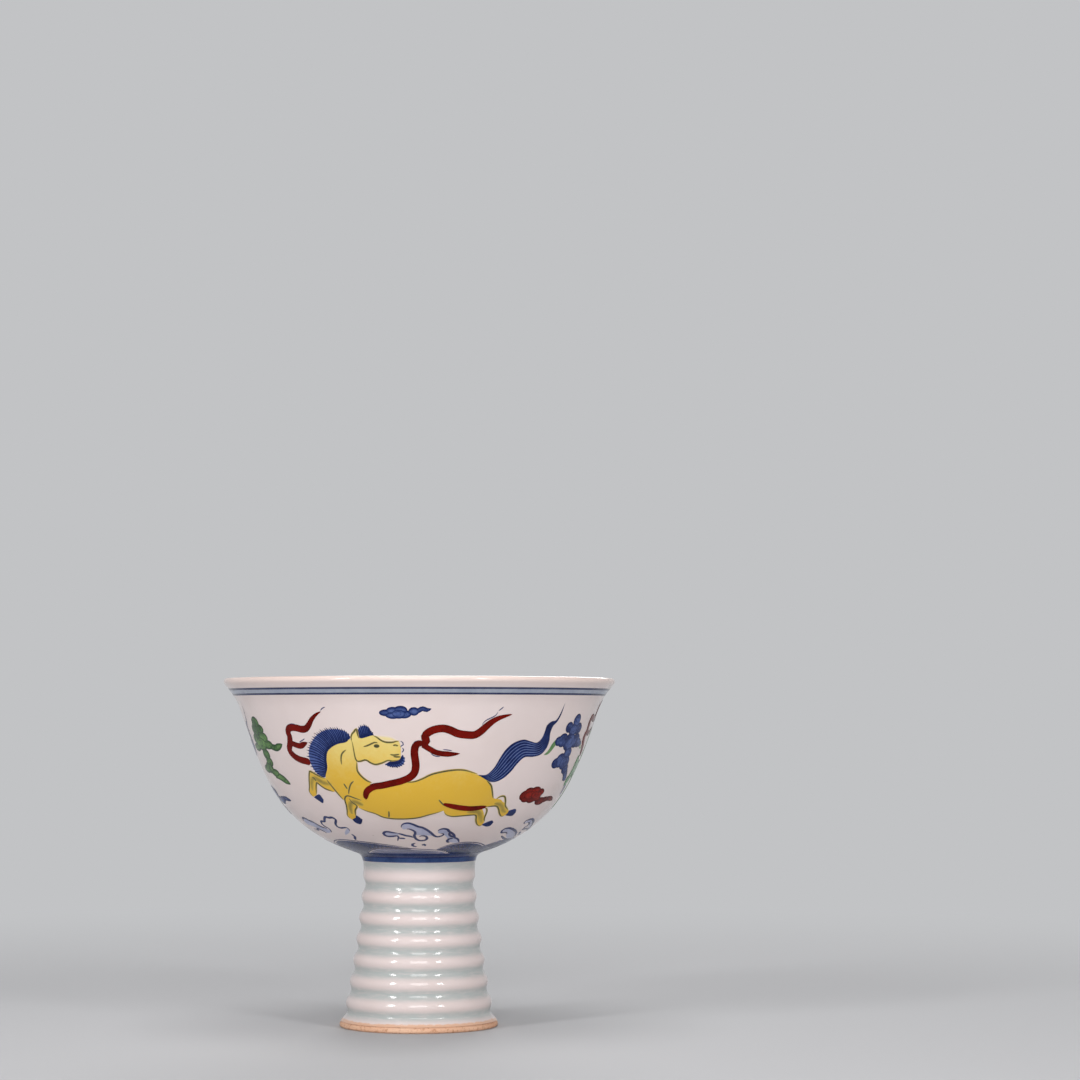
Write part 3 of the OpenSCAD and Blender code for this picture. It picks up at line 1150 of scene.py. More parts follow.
@dataclass(frozen=True)
class Dab:
    """A round dab of the brush, in millimetres round and up."""

    at: tuple[float, float]
    wide: float
    tall: float

    def edges(self, skin: Skin) -> tuple[Array, Array]:
        """The dab's oval edge.

        Args:
            skin: the sheet that it lies on.

        Returns:
            The upper and the lower half.
        """
        turn = np.linspace(np.pi, 0, DAB_SAMPLES)
        x, y = self.wide / 2 * np.cos(turn), self.tall / 2 * np.sin(turn) + DAB_EDGE
        upper, lower = (np.stack([x / skin.girth(self.at[1]), v], 1) + self.at for v in (y, -y))
        return upper, lower

    def wider(self, by: float, least: float = 0.2) -> "Dab":
        """The same dab, larger by a length each way, or smaller by one below zero."""
        return Dab(self.at, max(least, self.wide + by), max(least, self.tall + by))

    def curl(self, skin: Skin, width: float = 0.3) -> Stroke:
        """A curl of the brush inside the dab: a little over a turn that winds in to its middle.

        Args:
            skin: the sheet that it lies on.
            width: the width of the curl's line.

        Returns:
            The curl.
        """
        turn, reach = np.radians(np.linspace(*CURL_TURN, CURL_SAMPLES)), np.linspace(*CURL_REACH, CURL_SAMPLES)
        x = self.wide / 2 * reach * np.cos(turn) / skin.girth(self.at[1])
        y = self.tall / 2 * reach * np.sin(turn)
        return Stroke(tuple(zip(self.at[0] + x, self.at[1] + y)), width)


@dataclass(frozen=True)
class Ring:
    """A painted line right round the bowl between two heights."""

    low: float
    high: float

    def edges(self, skin: Skin) -> tuple[Array, Array]:
        """The ring's lower and upper edge, one step for each degree."""
        turn = np.arange(360.0)
        return np.stack([turn, 0 * turn + self.low], 1), np.stack([turn, 0 * turn + self.high], 1)


Mark = Stroke | Fill | Dab | Ring


@dataclass
class Brushwork:
    """Marks of one colour at one height, made into one piece."""

    name: str
    pot: Pot
    layer: Layer
    marks: list[tuple[Mark, float, float]] = field(default_factory=list)
    sink: float = 0.012
    shoulder: float = 0.12
    bluff: int = 4
    column_w: float = 0.6
    least_columns: int = 5
    more_columns: int = 60

    def put(self, *marks: Mark, turn: float = 0.0, lift: float = 0.0) -> "Brushwork":
        """Adds marks, turned round the bowl by an angle and lifted off their layer by a hair."""
        self.marks += [(mark, turn, lift) for mark in marks]
        return self

    def shell(self, mark: Mark, turn: float, lift: float, skin: Skin) -> Shell:
        """One mark as a thin closed lens on the skin.

        The point at (share u along, share v across) lies between the mark's edges at u, at a height
        that rises from just under the skin at each edge to the layer's height; the underside is the
        same sheet sunk into the glaze.

        Args:
            mark: the mark.
            turn: how far it is turned round the bowl, in degrees.
            lift: how far it is lifted off its layer.
            skin: the bowl's outside.

        Returns:
            The lens, with the distance to the mark's edge as its edge value and the skin's normals.
        """
        left, right = (edge + [turn, 0] for edge in mark.edges(skin))
        girth = skin.girth((left[:, 1] + right[:, 1]) / 2)
        width = np.hypot((left[:, 0] - right[:, 0]) * girth, left[:, 1] - right[:, 1])
        columns = int(np.clip(width.max() / self.column_w, 0, self.more_columns)) + self.least_columns
        across = (1 - np.cos(np.pi * np.linspace(0, 1, columns))) / 2
        spots = left[:, None] * (1 - across[:, None]) + right[:, None] * across[:, None]
        edge = np.minimum(across, 1 - across) * width[:, None]
        rise = (1 - (1 - np.clip(edge / self.shoulder, 0, 1)) ** self.bluff) ** (1 / self.bluff)
        top = -self.sink + (self.layer.value + lift + self.sink) * rise
        under = np.full_like(top[:, 1:-1], -2 * self.sink)
        loop = np.concatenate([spots, spots[:, -2:0:-1]], 1)
        points, normals = skin.place(loop, np.concatenate([top, under], 1))
        depth = np.concatenate([edge, 0 * under], 1)
        index = np.arange(loop[..., 0].size).reshape(loop.shape[:2])
        closed = np.vstack([index, index[:1]]) if isinstance(mark, Ring) else index
        after = np.roll(closed, -1, axis=1)
        faces = [np.stack([closed[:-1], after[:-1], after[1:], closed[1:]], 2).reshape(-1, 4)]
        if closed is index:
            faces.append(np.stack([index[0, ::-1], index[-1]]))
        return Shell(points.reshape(-1, 3), faces, {"edge": depth.ravel()}, normals.reshape(-1, 3)).outward()

    def build(self, skin: Skin) -> Thing:
        """All the marks as one piece."""
        return Shell.joined([self.shell(*mark, skin) for mark in self.marks]).piece(self.name, self.pot.value)


@dataclass(frozen=True)
class Horse:
    """One flying horse: its body, hair, hooves and ribbons, loose lines round it and colour spilt past its line."""

    coat: tuple[Fill, ...]
    shades: tuple[Stroke, ...]
    lines: tuple[Stroke, ...]
    eyes: tuple[Dab, ...]
    mane: Fill
    tufts: tuple[Fill, ...]
    tail: Fill
    hooves: tuple[Fill, ...]
    ribbons: tuple[Stroke, ...]
    loose: tuple[Stroke, ...]
    spill: Fill | None = None


# The horse whose head turns back over its shoulder, about 0 degrees.
LOOKING_BACK = Horse(
    coat=Fill.each(
        ((-22, 24.5), (-19, 26), (-13, 26.6), (-6, 27.1), (-2, 27.3), (1.3, 28), (4.5, 29), (8.1, 29.6), (12.2, 30),
         (15.8, 29.9), (19, 29.4), (22.3, 28.6), (25.5, 27.5), (27.5, 26.4), (28.7, 25), (29.7, 23.7),
         (30.3, 23.2)),
        ((-25, 20.8), (-21.9, 20), (-18.4, 19.3), (-15.7, 18.4), (-12.6, 18), (-9.2, 17.8), (-4.5, 17.9),
         (0.1, 18.2), (3.9, 18.9), (7.8, 19.6), (10.2, 20.1), (16, 20.6), (22, 20.6), (28, 21), (30.3, 22)),
        ((-22.9, 36.9), (-24.2, 36.2), (-27.3, 35.8), (-30, 35), (-31.9, 34), (-32.9, 32.4), (-33.5, 30.4),
         (-35.4, 28.2), (-34.2, 26.7), (-32.9, 25.3), (-31.5, 23.8), (-30.2, 22.6)),
        ((-21.9, 36.7), (-21.8, 34.7), (-21.7, 32.9), (-21.5, 31.5), (-21.7, 29.8), (-20.7, 28.7), (-18.8, 27.6),
         (-17.5, 27), (-19, 25), (-20.5, 23), (-22, 22), (-24, 21.2)),
        ((-22.1, 36.6), (-21.7, 37.8), (-20.6, 38.5), (-19.7, 37.9), (-19, 37.1), (-17.2, 37.3), (-15, 37.7),
         (-13.4, 37.4), (-12, 36.8), (-10.4, 36.4), (-8.4, 36.4), (-6.6, 36.5), (-6.1, 36.1), (-5.9, 35.6)),
        ((-21.8, 34), (-21.5, 32.2), (-20, 32), (-18, 32.3), (-16.5, 31.7), (-14.8, 31.3), (-12.6, 31.6),
         (-10.3, 32.2), (-8.8, 32.1), (-6.3, 32.4), (-5.9, 33.2), (-5.8, 34), (-5.8, 34.9)),
        ((-31, 28.6), (-35.2, 28.1), (-37.1, 28.2), (-39.7, 29), (-41.8, 29.6), (-42.8, 29)),
        ((-31, 24.4), (-33, 24.8), (-35, 25.1), (-37.3, 25.6), (-39.7, 26.7), (-40.4, 27.2)),
        ((-41.6, 29.6), (-42.5, 29.1), (-43.7, 27.6), (-44.9, 26), (-46.2, 24.7), (-45.3, 23.5)),
        ((-39.4, 28.6), (-40.2, 27.1), (-41.4, 26), (-42.4, 24.7), (-43.3, 23.9)),
        ((-19, 22.8), (-22.3, 22.9), (-25, 23.5), (-28.1, 23.9), (-29.8, 23.1)),
        ((-19, 19.6), (-22, 20.2), (-25.4, 21.3), (-26.5, 21.4), (-27.5, 21.5)),
        ((-29.6, 23.4), (-30.2, 21.3), (-31, 19.8), (-31.7, 18.4), (-30.8, 17.4)),
        ((-25.6, 22), (-25.6, 21.2), (-26.9, 20.2), (-27.7, 18.9), (-28.2, 18.1)),
        ((27, 26.4), (28.7, 25), (30.3, 23.3), (34, 22.8), (36.8, 21.5), (38.4, 20.8), (40.4, 20.1), (41, 19.6)),
        ((25, 21), (28, 21), (32.8, 21.1), (34.8, 20.4), (36.4, 19.2), (38.4, 18.3), (40.4, 18.5)),
        ((9.5, 21.8), (14, 21.4), (20, 21), (26.3, 20.8), (28.3, 18.9), (29.5, 17.4), (31.1, 16.6)),
        ((10.2, 20.1), (11.8, 19), (14.2, 18.5), (18.2, 18.6), (22.3, 18.8), (25.1, 18.7), (26.3, 17.1),
         (27.9, 15.9), (29.9, 15.4)),
    ),
    shades=Stroke.each(
        ((-33, 26.6), (-37, 27), (-40.4, 28), (-42.6, 27.2), (-44.4, 24.6)),
        ((-22, 21.4), (-26, 22.4), (-28.4, 21.4), (-29.4, 18.6)),
        ((31, 22), (35, 21.4), (37.6, 20), (40.2, 19.2)),
        ((20, 19.6), (25.4, 19.7), (27.6, 18.2), (30, 16.1)),
        width=1.8,
    ),
    lines=Stroke.each(
        ((-6, 27.3), (-2, 27.3), (1.3, 28), (4.5, 29), (8.1, 29.6), (12.2, 30), (15.8, 30), (19, 29.5), (21.5, 29)),
        ((25, 27.7), (27.5, 26.4), (28.7, 25), (29.7, 23.7), (30.5, 23)),
        ((31.5, 22.9), (33.2, 23.6), (35.2, 23.6), (36.6, 22.4), (37.4, 21.3), (38.8, 20.6), (40.4, 20)),
        ((28, 21), (32.8, 21.2), (34.8, 20.4), (36.4, 19.2), (38.4, 18.3), (40, 18.4)),
        ((-25, 20.9), (-21.9, 20), (-18.4, 19.3), (-15.7, 18.4), (-12.6, 17.95), (-9.2, 17.8), (-4.5, 17.85),
         (0.1, 18.2), (3.9, 18.9), (7.8, 19.6), (10.5, 20.2)),
        ((10.4, 20.1), (11.5, 19.1), (14.2, 18.5), (18.2, 18.6), (22.3, 18.8), (25.1, 18.7), (26.3, 17.1),
         (27.9, 15.9), (29.9, 15.4), (31, 15.9)),
        ((27.9, 20.8), (29.1, 20.4), (29.7, 19.4), (29.9, 17.8), (31, 16.7)),
        ((7.6, 23.2), (9.2, 22.1), (11, 21.2)),
        ((-12.8, 18), (-12.4, 19.2), (-12.2, 20.2)),
        ((-35.4, 28), (-34.2, 26.7), (-32.9, 25.3), (-31.5, 23.8), (-30.3, 22.7)),
        ((-35.4, 28), (-37.1, 28.2), (-39.7, 29), (-41.8, 29.6), (-42.5, 29.1), (-43.7, 27.6), (-44.9, 26),
         (-46.2, 24.7), (-45.2, 23.4)),
        ((-33.6, 24.8), (-35, 25.1), (-37.3, 25.6), (-39.7, 26.7), (-40.2, 27.1), (-41.4, 26), (-42.4, 24.7),
         (-43.3, 23.9)),
        ((-40.2, 27.1), (-40.8, 28), (-42, 28.2)),
        ((-22.3, 22.7), (-25, 23.3), (-28.1, 23.9), (-29.8, 23.1), (-30.2, 21.3), (-31, 19.8), (-31.9, 18.6),
         (-31, 17.6)),
        ((-27.9, 23.6), (-27.2, 22.4), (-25.4, 21.3), (-26.9, 20.2), (-27.7, 18.9), (-28.2, 18.4)),
        ((-27.5, 24), (-26.9, 25.1), (-25.4, 26.7), (-23.6, 27.6)),
        ((-27.2, 25.4), (-28.3, 27)),
        ((-21.3, 32.1), (-21.6, 30.9), (-21.7, 29.8), (-20.7, 28.7), (-18.8, 27.6), (-16.9, 27.05)),
        ((-22.2, 37.1), (-21.9, 36), (-21.8, 34.5), (-21.7, 32.9), (-21.3, 32.1), (-20, 32), (-18, 32.3),
         (-16.5, 31.7), (-14.8, 31.3), (-12.6, 31.6), (-10.3, 32.2), (-8.8, 32.1), (-6.5, 32.35)),
        ((-22, 36.2), (-22.1, 37.2), (-21.6, 38), (-20.8, 38.5), (-19.9, 39.1), (-19.7, 37.9), (-19.3, 36.8)),
        ((-14.7, 37.7), (-13.6, 37.4), (-12.8, 37), (-12, 36.6), (-11, 36.3), (-10, 36.2), (-8.4, 36.2),
         (-7.2, 36.4), (-6, 36.5)),
        ((-9.7, 33.6), (-8.2, 33.4), (-6, 33.6)),
        ((-8.6, 33.1), (-7.2, 33), (-5.8, 33)),
        ((-18.6, 35.2), (-17.2, 35.4), (-16, 35.7), (-15, 36), (-13.9, 36.2), (-12.9, 35.9)),
        ((-8.4, 35.5), (-7.4, 35.6), (-6.7, 35.4)),
        ((-27.3, 30.9), (-27.1, 32.4), (-26.3, 33.7), (-24.4, 34.6)),
    ),
    eyes=(
        Dab((-13.7, 35.4), 1.25, 1.0), Dab((-7, 35.5), 0.6, 0.5),
    ),
    mane=Fill(
        ((-36.8, 28), (-39.2, 29.1), (-40.8, 31.1), (-40.7, 33.4), (-39.3, 35.3), (-37.2, 36.8), (-34.7, 38.1),
         (-31.7, 39), (-28.9, 39.3), (-25.8, 39.2), (-23.4, 38.5), (-22.6, 37.6)),
        ((-35.4, 28.4), (-33.5, 30.4), (-32.9, 32.4), (-31.9, 34), (-30, 35), (-27.3, 35.8), (-24.2, 36.2),
         (-22.8, 37)),
    ),
    tufts=Fill.each(
        ((-20, 38.4), (-19.2, 39.4), (-18.2, 39.9), (-17, 40), (-16, 39.7), (-15.5, 39), (-14.8, 38.5),
         (-14.4, 37.9)),
        ((-19.3, 36.8), (-18.6, 36.9), (-18, 37), (-16.8, 37.3), (-15.4, 37.6), (-14.6, 37.8)),
        ((-11.3, 31.2), (-10.2, 30.8), (-8.6, 30.6), (-7, 30.6), (-5.4, 31), (-4.5, 31.8), (-4.4, 32.6),
         (-5, 33.2)),
        ((-11.1, 31.4), (-9.5, 32), (-8, 32.3), (-6.5, 32.5), (-5.9, 32.9), (-5.4, 33.3)),
    ),
    tail=Fill(
        ((21.5, 28.9), (24.7, 29), (27.1, 30.6), (28.7, 32.9), (30.3, 34.7), (32.8, 36.1), (36.4, 36.8),
         (39.6, 36.4), (42.5, 36.1), (44.3, 37.1), (44.9, 38.7), (45.1, 39.9), (46.9, 40.8), (48.7, 41),
         (49.7, 41.9), (50.4, 43.2), (51, 44.9)),
        ((23.9, 27.6), (28.3, 27.1), (31.6, 27.8), (34.4, 29.4), (36.4, 31.3), (38.8, 32.7), (42.5, 32.8),
         (46.1, 33.3), (48.1, 34.7), (48.5, 36.4), (47.9, 38), (48.3, 39.6), (49.8, 40.6), (50.7, 41.8),
         (51.1, 43.2), (51.2, 44.9)),
    ),
    hooves=Fill.each(
        ((-45.1, 23.4), (-42.9, 24), (-41.2, 24.1), (-40.4, 22.9)),
        ((-45, 23.2), (-43.7, 22.6), (-41.8, 21.8), (-40.4, 22.7)),
        ((-30.6, 17.8), (-28.6, 18.6), (-27.3, 18.7), (-25.4, 17.6)),
        ((-30.4, 17.2), (-29.8, 16.4), (-27.9, 15.9), (-26.5, 16.4), (-25.4, 17.4)),
        ((40.1, 19.7), (43.7, 20.3), (45.1, 20), (45.7, 19.3)),
        ((40, 18.6), (41.6, 18.3), (44.9, 18.2), (45.7, 19.1)),
        ((30.4, 16), (32.8, 16.7), (34.8, 17.1), (36.2, 16.5)),
        ((30.6, 15.6), (31.6, 15.4), (34, 15), (35.8, 15.3), (36.2, 16.3)),
    ),
    ribbons=(
        Stroke(((-20.7, 22.9), (-20.4, 24), (-19.2, 25.2), (-16.5, 26.1), (-13.4, 26.4), (-9.9, 26.9), (-6.5, 27.4),
                (-3.4, 28.2), (-1.5, 29.3), (-0.9, 30.7), (-1, 32), (-1.3, 33.6), (-1.1, 35.1), (-0.1, 35.9),
                (1.8, 35.9)), 1.5, Ends.EVEN),
        Stroke(((1, 35.6), (2.5, 36.4), (2.1, 37.4), (3.1, 38.3), (5.3, 39), (7.9, 39.2), (10.2, 38.8),
                (12.6, 38.1), (15.4, 37.8), (18.2, 37.8), (20.2, 38.6), (21.9, 39.7), (23.9, 40.8), (26.3, 41.6),
                (30.1, 42.3)), 1.6, Ends.RIBBON),
        Stroke(((1, 35.8), (3.7, 34.7), (6.1, 33.9), (9.3, 33.6), (12.2, 33.6), (13.9, 33.7)), 1.1, Ends.RIBBON),
        Stroke(((-40.2, 31.6), (-42.4, 31.9), (-44.7, 32.2), (-47, 32.8), (-48.7, 33.8), (-48.9, 34.7),
                (-47.8, 35.8), (-47, 37.3), (-47.2, 38.2), (-46.6, 39), (-45.1, 39.4), (-42.7, 39.3), (-40.4, 39),
                (-38.5, 39.2), (-37, 40), (-35.4, 41.2), (-33.5, 42.2), (-31.4, 42.9)), 1.5, Ends.RIBBON),
        Stroke(((-47.6, 36.1), (-45.4, 35.6), (-43.1, 35.3), (-41.2, 35.7), (-39.3, 36.1)), 1.2, Ends.RIBBON),
        Stroke(((9.5, 22), (12.2, 21.5), (16.6, 20.9), (21.5, 20.6), (25.5, 20.8),
                (28.7, 21.1)), 1.4, Ends.POINTED),
    ),
    loose=Stroke.each(
        ((20.2, 39.7), (20.6, 40.4), (21.5, 41), (22.6, 41.4), (23.8, 41.8), (24.7, 42.3), (25.1, 43.1)),
        ((25.1, 43), (26, 43.5), (26.8, 44)),
        ((3.8, 33.9), (5.4, 33.2), (7.6, 33)),
        ((7.8, 34.6), (9.6, 34.5), (11.4, 34.3)),
        ((-46.5, 39.9), (-44.4, 40.2), (-42.2, 40)),
        ((-43.2, 36.1), (-41.6, 36.5), (-39.9, 37)),
        ((-31.6, 43), (-30.6, 43.6), (-29.4, 43.9)),
        ((-1.9, 34.9), (-1.4, 36.1), (-0.2, 36.6)),
        ((-6.1, 36.5), (-5.5, 36.4), (-5, 36.1), (-4.8, 35.8), (-5.1, 35.5), (-5.7, 35.4), (-5.9, 35.1),
         (-5.4, 34.9)),
        ((-5.4, 35), (-4.9, 34.7), (-5, 34.3), (-5.6, 33.9)),
        width=0.34,
    ),
    spill=Fill(
        ((-14.4, 37.9), (-13, 37.9), (-11, 37.8), (-9, 37.6), (-7.4, 37.1), (-6.1, 36.5)),
        ((-14.2, 37.2), (-12.8, 36.8), (-11, 36.2), (-9, 36.1), (-7.4, 36.2), (-6.2, 36.3)),
    ),
)

# The horse whose face is turned to the viewer, about 115 degrees.
FACING_OUT = Horse(
    coat=Fill.each(
        ((88.5, 39.4), (87.6, 38.5), (87.9, 37.3), (87.5, 35.6), (87, 33.9), (87.1, 32.5), (89.2, 31.6)),
        ((92.5, 39.9), (96, 39.2), (97.4, 38.3), (97.7, 37.2), (96, 36.1), (94.6, 35.5), (94.4, 33.7), (94.2, 32.5),
         (91.6, 31.8)),
        ((95, 39.2), (93.5, 36), (91, 33), (87.5, 32.2), (84.2, 31.8), (83.8, 30.9), (83.6, 28.8), (83.8, 27.5),
         (84.6, 26.6), (85.8, 25.2)),
        ((97.8, 38.4), (98.7, 37), (99.1, 34.9), (99.1, 32.8), (100.3, 31.1), (102.4, 30.4), (103, 29), (102, 26),
         (98, 23.4), (92, 23.6)),
        ((98, 30.6), (102.4, 30.2), (107.3, 30.3), (110.6, 30.4), (114.8, 31.2), (118.9, 32.3), (124.9, 33.4),
         (129.9, 33.4), (133.1, 32.5), (136.3, 30.9), (139.1, 29.3), (140.7, 27.5), (141.6, 25.6), (142.5, 24.4)),
        ((90.4, 24.2), (92.9, 23.4), (97, 22.8), (101.1, 22.4), (104.4, 22.3), (105.7, 21.7), (109.4, 21.2),
         (113.5, 21.2), (117.7, 21.8), (121.4, 22.8), (128, 22.6), (134, 21.9), (138, 22.4), (141.4, 22.4)),
        ((87, 31.4), (83.8, 30.9), (81.7, 31.3), (79.2, 31.8), (77, 32.8), (75.9, 32.3)),
        ((87, 27), (83.2, 27.5), (81.3, 28), (79.6, 29), (78.4, 29.2)),
        ((76.6, 32.7), (75.8, 32.1), (75.4, 30.4), (74.5, 28.5), (73, 27.3), (73.7, 25.8)),
        ((79, 30), (78.4, 28.5), (77.4, 27.5), (77.2, 26.5)),
        ((85.6, 25.8), (85.4, 23.7), (84.4, 22), (84.2, 20.9), (85, 19.9)),
        ((92, 24.4), (90.2, 24), (89.1, 22.8), (88.1, 21.3), (87.5, 20.2)),
        ((91.6, 43.9), (90.7, 43.2), (90.3, 42), (90.8, 41.4)),
        ((91.8, 43.8), (92.9, 43.1), (93.1, 41.8), (92.6, 41.2)),
        ((97.8, 43.4), (96.6, 43), (95.1, 42), (95.4, 41.4)),
        ((97.9, 43.3), (98.1, 42.5), (98, 41.8), (97.4, 41.2)),
        ((121.8, 24), (127, 22.6), (132, 22), (137.9, 22.8), (140, 21.7), (140.7, 20.1), (141, 17.8)),
        ((122.2, 23), (124, 21.7), (126.3, 20.9), (130.8, 20.8), (134.5, 20.5), (136.3, 19.6), (136.8, 18.3),
         (137.4, 16.9)),
        ((139.6, 27), (142.7, 24.6), (145.9, 24.2), (148.2, 24), (149.4, 22.7), (150.5, 21.2), (151.6, 20.1)),
        ((138, 22.2), (140.4, 22.1), (142.7, 22.1), (145.5, 22.1), (146.8, 20.4), (147.3, 18.8), (149.6, 18)),
    ),
    shades=Stroke.each(
        ((83, 29.6), (79.6, 30.4), (77, 31), (75.8, 28.4), (75.2, 26.2)),
        ((88, 24.8), (87, 22.6), (86.2, 20.4)),
        ((130, 21.6), (136.6, 21.4), (138.8, 19.6), (139.2, 17.4)),
        ((141, 23.4), (146.6, 23), (148.4, 21), (150, 19)),
        ((95, 23.8), (104, 23.2), (112, 22.2), (120, 23.4)),
        width=1.5,
    ),
    lines=Stroke.each(
        ((88.5, 39.4), (87.6, 38.5), (87.9, 37.3), (87.5, 35.6), (87, 33.7), (87.1, 32.5), (89.2, 31.6),
         (91.6, 31.8), (94.2, 32.5), (94.5, 33.7), (94.3, 34.9), (94.9, 35.7), (97, 36.3), (97.8, 37.2),
         (97.4, 38.5)),
        ((88.6, 38.6), (90, 39), (91.4, 38.4)),
        ((89.6, 37), (90, 35.4), (89.8, 33.8)),
        ((92.9, 36.6), (92.4, 35), (92.6, 33.6)),
        ((88.6, 33), (89.4, 32.6), (90.2, 33)),
        ((91.6, 33), (92.4, 32.7), (93.2, 33.1)),
        ((88.2, 32.3), (90.4, 32.2), (92.8, 32.6)),
        ((90.4, 42), (90.8, 43.2), (91.6, 43.8), (92.9, 43.1), (93.1, 41.8)),
        ((95.1, 42), (96.6, 43), (97.8, 43.4), (98, 41.8)),
        ((84.2, 31.8), (83.8, 30.9), (83.6, 29), (83.8, 27.5), (84.6, 26.6), (85.6, 25.6)),
        ((83.8, 30.9), (81.7, 31.3), (79.2, 31.8), (77, 32.8), (75.9, 32.3), (75.4, 30.4), (74.5, 28.5), (73, 27.3),
         (73.6, 25.9)),
        ((83.2, 27.5), (81.3, 28), (79.6, 29), (78.4, 28.5), (77.4, 27.5), (77.2, 26.6)),
        ((85.6, 25.6), (85.4, 23.7), (84.4, 22), (84.2, 20.9), (85, 19.9)),
        ((90.4, 24.4), (89.1, 22.8), (88.1, 21.3), (87.5, 20.3)),
        ((94.5, 30.3), (91.6, 29.2), (90.2, 28.2)),
        ((90, 31), (90.2, 29), (90.8, 26.6), (90.4, 24.4)),
        ((99.1, 32.8), (97.4, 31.2), (94.8, 30.6)),
        ((102.4, 30.2), (107.3, 30.3), (110.6, 30.4), (114.8, 31.2), (118.9, 32.3), (124.9, 33.4), (129.9, 33.4),
         (133.1, 32.7), (136, 31.6)),
        ((137.8, 30.4), (139.1, 29.3), (140.7, 27.5), (141.6, 25.6), (142.7, 24.6)),
        ((90.4, 24.2), (92.9, 23.4), (97, 22.8), (101.1, 22.4), (104.4, 22.3), (105.7, 21.7), (109.4, 21.2),
         (113.5, 21.2), (117.7, 21.8), (121.4, 22.8)),
        ((122.2, 23), (124, 21.7), (126.3, 20.9), (130.8, 20.8), (134.5, 20.5), (136.3, 19.6), (136.8, 18.3),
         (137.2, 16.9), (139.5, 16.4)),
        ((137.9, 22.6), (140, 21.7), (140.7, 20.1), (140.9, 18.3)),
        ((142.7, 24.6), (144.3, 24.7), (145.9, 24.4), (148.2, 24.1), (149.4, 22.7), (150.5, 21.2), (151.6, 20.1)),
        ((140.4, 22.1), (142.7, 22.1), (145.5, 22.1), (146.8, 20.4), (147.3, 18.8), (149.6, 18)),
        ((119.6, 28), (121, 26.6), (122.6, 25.4)),
    ),
    eyes=(
        Dab((90, 37.3), 1.0, 1.1), Dab((94.4, 37), 0.9, 0.9), Dab((89.4, 32.9), 0.4, 0.3),
        Dab((92.4, 33), 0.4, 0.3),
    ),
    mane=Fill(
        ((86, 40.6), (86.7, 41.6), (89.1, 42.2), (94.1, 41.9), (97.4, 41.3), (100.3, 40.4), (102.4, 39.2),
         (104, 37.8), (105.3, 35.9), (106.3, 34), (106.7, 32), (105.7, 30.5)),
        ((86.3, 39.9), (87.9, 39.4), (90.8, 39.9), (94.5, 39.7), (97.4, 38.7), (98.7, 37), (99.1, 34.9),
         (99.1, 32.8), (100.3, 31.1), (102.4, 30.4)),
    ),
    tufts=(),
    tail=Fill(
        ((135.9, 32.2), (139.1, 32.7), (140.9, 34.3), (142.3, 36.7), (144.6, 38.8), (148.2, 40), (152.8, 39.6),
         (156.4, 39.6), (157.8, 41.4), (158.7, 42.7), (161.5, 43.8), (164.2, 45.6)),
        ((138.2, 30.1), (142.3, 30), (146.4, 30.9), (148.7, 32.5), (150.5, 34.3), (152.3, 35.8), (156, 36.3),
         (160.1, 37.5), (162.6, 39.1), (162.4, 40.9), (162.4, 42.7), (164.3, 45.5)),
    ),
    hooves=Fill.each(
        ((74.3, 26.1), (76.5, 26.4), (78, 25.9), (79, 25)),
        ((74.9, 25.4), (75.5, 24.6), (77.2, 23.2), (78.6, 24.2), (79, 24.9)),
        ((84.8, 20), (87.9, 20.1), (89.4, 19.5), (90.4, 18.7)),
        ((85.2, 19.4), (87.1, 18), (89.1, 17.4), (90.4, 18.6)),
        ((139.3, 17.2), (141, 17.9), (144.7, 17.8), (145.9, 16.6)),
        ((139.4, 16.4), (140.5, 16.1), (144.5, 15.9), (145.9, 16.5)),
        ((149.2, 18.1), (151.4, 19.1), (154, 19.5), (156, 19.4)),
        ((149.4, 17.8), (151, 17.5), (155.1, 17.5), (156.2, 19)),
    ),
    ribbons=(
        Stroke(((78.8, 32.8), (78.4, 33.7), (77, 34.9), (75.3, 35.9), (74.1, 36.8), (73.9, 37.5), (74.9, 38.5),
                (74.9, 39.4), (74.5, 40.6), (75.1, 41.6), (76.7, 41.7), (79.6, 41.3), (81.7, 41.5), (82.5, 42.5),
                (83.6, 43.8), (85.8, 45), (88.3, 45.8)), 1.45, Ends.RIBBON),
        Stroke(((75, 38.6), (78, 38), (80.5, 38.4), (82.5, 38.8), (84.1, 39.4)), 1.1, Ends.RIBBON),
        Stroke(((98.9, 26.3), (99.5, 27.3), (101.1, 28.5), (103.6, 29.7), (107.3, 30.5), (109, 31.6), (109.2, 32.8),
                (108.8, 34.2), (108, 35.4), (107.8, 36.3), (108.6, 37.3), (110.8, 37.9)), 1.5, Ends.EVEN),
        Stroke(((110.2, 37.6), (111.1, 38.7), (111.5, 39.7), (112.7, 40.7), (114.8, 41.1), (117.3, 40.4),
                (120.2, 39.8), (122.6, 40), (124.3, 41.1), (126.4, 42.3), (129.7, 43.5),
                (131.3, 44.6)), 1.55, Ends.RIBBON),
        Stroke(((110.2, 37.8), (112.7, 36.9), (115.2, 36.1), (118.1, 35.7), (121.4, 36.1),
                (123.9, 36.7)), 1.1, Ends.RIBBON),
        Stroke(((121.9, 26.7), (124, 25.1), (126.7, 23.7), (129.9, 22.5), (133.1, 21.9), (135.9, 22.1),
                (137.9, 22.6)), 1.3, Ends.POINTED),
    ),
    loose=Stroke.each(
        ((123.4, 41.4), (126.2, 43.2), (129.4, 44.5)),
        ((83, 44), (85.2, 45.4), (87.6, 46.2)),
        ((112.4, 36.4), (114.6, 35.5), (117, 35)),
        width=0.24,
    ),
)


